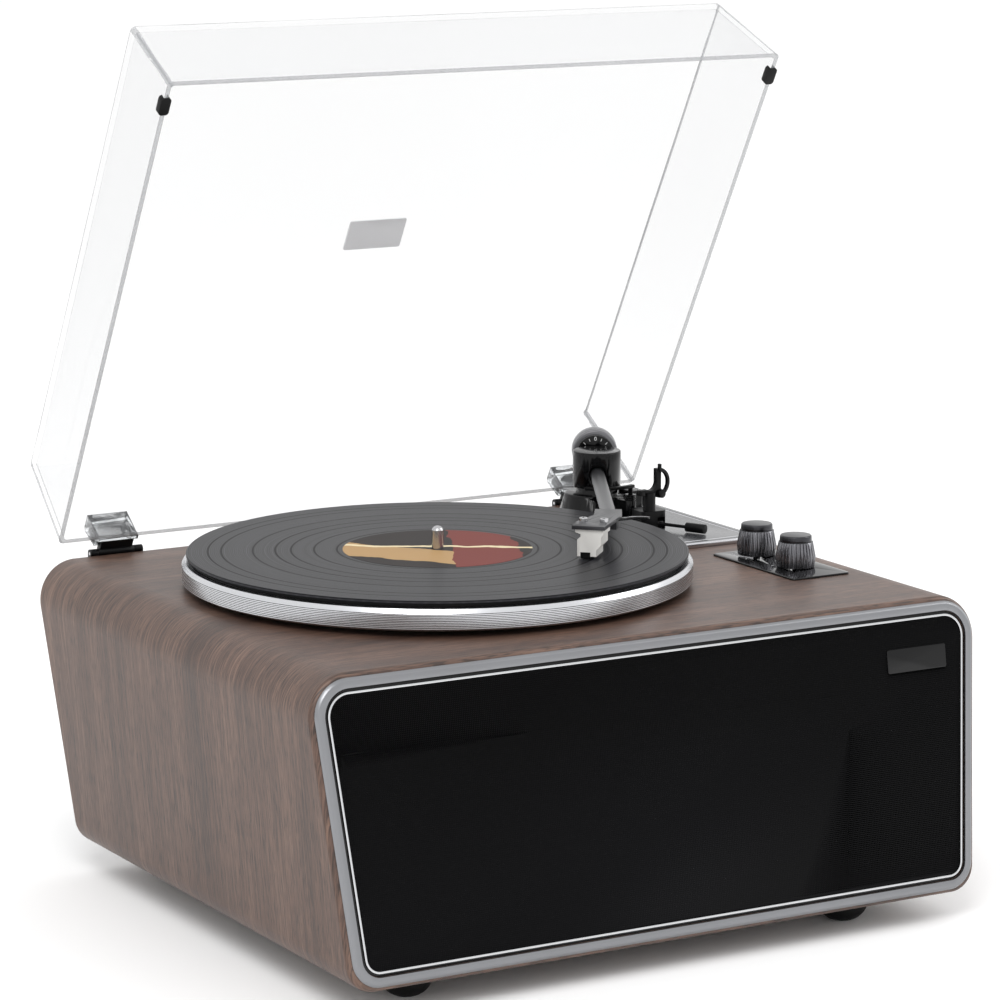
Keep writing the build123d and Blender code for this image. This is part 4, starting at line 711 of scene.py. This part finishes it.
# The faces that a test picks get a further material.
def dressFaces(piece, material, picks):
    piece.data.materials.append(material)
    for face in piece.data.polygons:
        if picks(face):
            face.material_index = len(piece.data.materials) - 1


beadFront = max(vertex.co.dot(outOfFront) for vertex in softPieces["grille_frame"].data.vertices)
beadStart = beadFront - dressed["bead"] * mm
dressFaces(softPieces["grille_frame"], beadChrome, lambda face: face.center.dot(outOfFront) > beadStart)
rimFront = max(vertex.co.dot(outOfRim) for vertex in softPieces["lid"].data.vertices)
coverBack = max(vertex.co.dot(coverWays[1]) for vertex in softPieces["lid"].data.vertices)


def onCoverEdge(face):
    bent = max(abs(face.normal.dot(way)) for way in coverWays) < math.cos(math.radians(dressed["bend"]))
    # The long bend at the hinged end is too wide to gather light.
    hingedEnd = abs(face.normal.x) < 0.3 and face.center.dot(coverWays[1]) > coverBack - dressed["hingedEnd"] * mm
    return (bent and not hingedEnd) or face.center.dot(outOfRim) > rimFront - dressed["rim"] * mm


# Painted reflection on the cover's walls.
dressFaces(softPieces["lid"], acrylicWallPaintedReflection, lambda face: abs(face.normal.dot(outOfRim)) < 0.5)
# Painted light: grey lines on the cover's bent edges and its rim.
dressFaces(softPieces["lid"], acrylicPaintedEdgeLines, onCoverEdge)
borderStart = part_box("tonearm_plate")[1][2] - dressed["plateBorder"] * mm
leastArea = dressed["leastFace"] * mm * mm
dressFaces(
    softPieces["tonearm_plate"],
    plateEdge,
    lambda face: face.normal.z < 0.95 and borderStart < face.center.z and face.area > leastArea,
)
for nodeName in ("volume_knob", "selector_knob"):
    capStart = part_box(nodeName)[1][2] - dressed["knobCap"] * mm
    dressFaces(softPieces[nodeName], darkAnodised, lambda face: face.center.z > capStart)
print("edges rounded")


# The cloth is stretched flat over the frame.
def grilleCloth():
    size = {"thickness": 0.6}
    piece = nodeCopy("grille_cloth", "grilleCloth")
    bpy.ops.object.mode_set(mode="EDIT")
    bpy.ops.mesh.select_all(action="DESELECT")
    bpy.ops.mesh.select_mode(type="FACE")
    bpy.ops.object.mode_set(mode="OBJECT")
    for face in piece.data.polygons:
        face.select = face.normal.dot(outOfFront) < 0.9
    bpy.ops.object.mode_set(mode="EDIT")
    bpy.ops.mesh.delete(type="FACE")
    bpy.ops.mesh.select_all(action="SELECT")
    bpy.ops.mesh.dissolve_limited(angle_limit=math.radians(1))
    bpy.ops.object.mode_set(mode="OBJECT")
    weave = piece.data.uv_layers.new(name="weave")
    upSlope = Vector((0, math.sin(frontLean), math.cos(frontLean)))
    for loop in piece.data.loops:
        place = piece.data.vertices[loop.vertex_index].co
        weave.data[loop.index].uv = (place.x, place.dot(upSlope))
    skin = piece.modifiers.new("skin", "SOLIDIFY")
    skin.thickness = size["thickness"] * mm
    skin.offset = -1
    applyModifiers(piece)
    piece.data.materials.append(cloth)
    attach(piece, bodyOf["grille_cloth"])
    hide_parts("grille_cloth")


grilleCloth()
print("cloth stretched")


# Ticks round the knobs, pad printed on the control plate.
def knobMarks():
    marks = {"radius": 14.2, "length": 1.6, "width": 0.45, "raise": 0.05}
    # How many ticks each knob has, and the degrees they span.
    spans = {"volume_knob": (11, 300), "selector_knob": (3, 90)}
    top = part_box("control_plate")[1][2]
    ticks = []
    for nodeName, (count, sweep) in spans.items():
        centre = middle(nodeName)
        for index in range(count):
            angle = math.radians(90 + sweep / 2 - sweep * index / (count - 1))
            deselectAll()
            bpy.ops.mesh.primitive_cube_add(
                size=1,
                location=(
                    centre.x + marks["radius"] * mm * math.cos(angle),
                    centre.y + marks["radius"] * mm * math.sin(angle),
                    top,
                ),
                rotation=(0, 0, angle),
                scale=(marks["length"] * mm, marks["width"] * mm, marks["raise"] * 2 * mm),
            )
            ticks.append(bpy.context.object)
    piece = joinPieces(ticks, "knobMarks")
    piece.data.materials.append(padInk)
    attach(piece, bodyOf["control_plate"])


knobMarks()


# The platter's ribbed side: a thin turned band over it, whose ribs are only painted shade lines in its material, so
# that they run true all the way round.
def platterBand():
    band = {"segments": 384, "clear": 0.05}
    low, high = (Vector(corner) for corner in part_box("platter"))
    deselectAll()
    bpy.ops.mesh.primitive_cylinder_add(
        vertices=band["segments"],
        radius=(high.x - low.x) / 2 + band["clear"] * mm,
        depth=high.z - low.z - (platterRim["foot"] + platterRim["ledge"]) * mm,
        end_fill_type="NOTHING",
        location=(spindle.x, spindle.y, (low.z + high.z) / 2 + (platterRim["foot"] - platterRim["ledge"]) / 2 * mm),
    )
    piece = bpy.context.object
    piece.name = "platterBand"
    applyPlace(piece)
    bpy.ops.object.shade_smooth_by_angle(angle=math.radians(30))
    piece.data.materials.append(platterMetal)
    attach(piece, bodyOf["platter"])


platterBand()


# Painted shade: dark lines along the edges of the clear hinge sockets and of the slots inside them, where the
# moulding bends the light away.
def socketPaintedShadeLines():
    line = {"thickness": 0.5}
    piece = nodeCopy("hinge_sockets", "socketPaintedShadeLines")
    bpy.ops.object.mode_set(mode="EDIT")
    bpy.ops.mesh.select_all(action="SELECT")
    bpy.ops.mesh.dissolve_limited(angle_limit=math.radians(2))
    bpy.ops.object.mode_set(mode="OBJECT")
    wires = piece.modifiers.new("outline", "WIREFRAME")
    wires.thickness = line["thickness"] * mm
    wires.offset = -1
    applyModifiers(piece)
    piece.data.materials.append(socketPaintedShade)
    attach(piece, bodyOf["hinge_sockets"])


socketPaintedShadeLines()


# Numbers and ticks on the front face of the stylus-force dial.
def dialMarks():
    marks = {
        "text": 3.6,
        "raise": 0.06,
        "numbers": ("0", "1", "2", "3"),
        "ticks": 16,
        "tickWidth": 0.35,
        "tickLength": 1.8,
        "radius": 10,
        "half": 2.75,
    }
    perNumber = marks["ticks"] // len(marks["numbers"])
    axis = Vector(jointOf["weight_turn"]["axis"]).normalized()
    face = middle("dial_ring") - axis * marks["half"] * mm
    side = Vector((0, 0, 1)).cross(axis).normalized()
    pieces = []
    for index in range(marks["ticks"]):
        angle = 2 * math.pi * index / marks["ticks"]
        outwards = side * math.sin(angle) + Vector((0, 0, 1)) * math.cos(angle)
        turn = Matrix((axis.cross(outwards), outwards, -axis)).transposed().to_4x4()
        deselectAll()
        if index % perNumber == 0:
            bpy.ops.object.text_add()
            mark = bpy.context.object
            mark.data.body = marks["numbers"][index // perNumber]
            mark.data.size = marks["text"] * mm
            mark.data.align_x = "CENTER"
            mark.data.align_y = "CENTER"
            mark.data.extrude = marks["raise"] * mm
            bpy.ops.object.convert(target="MESH")
            mark = bpy.context.object
        else:
            bpy.ops.mesh.primitive_cube_add(size=1)
            mark = bpy.context.object
            tick = (marks["tickWidth"] * mm, marks["tickLength"] * mm, marks["raise"] * 2 * mm, 1)
            mark.data.transform(Matrix.Diagonal(tick))
        mark.data.transform(Matrix.Translation(face + outwards * marks["radius"] * mm) @ turn)
        mark.location = (0, 0, 0)
        mark.data.materials.clear()
        pieces.append(mark)
    piece = joinPieces(pieces, "dialMarks")
    piece.data.materials.append(padInk)
    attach(piece, bodyOf["dial_ring"])


dialMarks()
print("marks printed")


studio = {"floor": "#fdfdfd", "floorSize": 60, "sky": 1.06}


def studioFloor():
    deselectAll()
    bpy.ops.mesh.primitive_plane_add(size=studio["floorSize"], location=(0, 0, cadBox[0][2]))
    floor = bpy.context.object
    floor.name = "studioFloor"
    paper = skinned("studioPaper", studio["floor"], 0.9, 2, bumpHeight=0.0, variation=0.01)
    floor.data.materials.append(paper)


studioFloor()

world = bpy.data.worlds.new("studioSky")
bpy.context.scene.world = world
world.use_nodes = True
world.node_tree.nodes["Background"].inputs["Color"].default_value = (1, 1, 1, 1)
world.node_tree.nodes["Background"].inputs["Strength"].default_value = studio["sky"]


def softLight(name, place, target, size, power):
    lamp = bpy.data.lights.new(name, "AREA")
    lamp.shape = "RECTANGLE"
    lamp.size = size[0]
    lamp.size_y = size[1]
    lamp.energy = power
    holder = bpy.data.objects.new(name, lamp)
    bpy.context.scene.collection.objects.link(holder)
    holder.location = place
    holder.rotation_euler = (Vector(target) - Vector(place)).to_track_quat("-Z", "Y").to_euler()


softLight("keyLight", (-1.2, -1.4, 2.2), (0, 0, 0.15), (1.2, 1.2), 26)
softLight("sideLight", (2.0, -0.6, 1.2), (0, 0, 0.15), (0.6, 1.6), 12)

# The lens and the sensor in millimetres; the rest in metres, from the record's centre.
shot = {
    "lens": 147.1,
    "sensor": 36,
    "farthest": 50,
    "place": (-1.17387, -2.09958, 0.48370),
    "aim": (0.0351, -0.0141, 0.0286),
}
cameraData = bpy.data.cameras.new("camera")
cameraData.lens = shot["lens"]
cameraData.sensor_width = shot["sensor"]
cameraData.clip_end = shot["farthest"]
camera = bpy.data.objects.new("camera", cameraData)
bpy.context.scene.collection.objects.link(camera)
camera.location = recordCentre + Vector(shot["place"])
aim = recordCentre + Vector(shot["aim"]) - camera.location
camera.rotation_euler = aim.to_track_quat("-Z", "Y").to_euler()
bpy.context.scene.camera = camera
bpy.context.scene.view_settings.view_transform = "Standard"
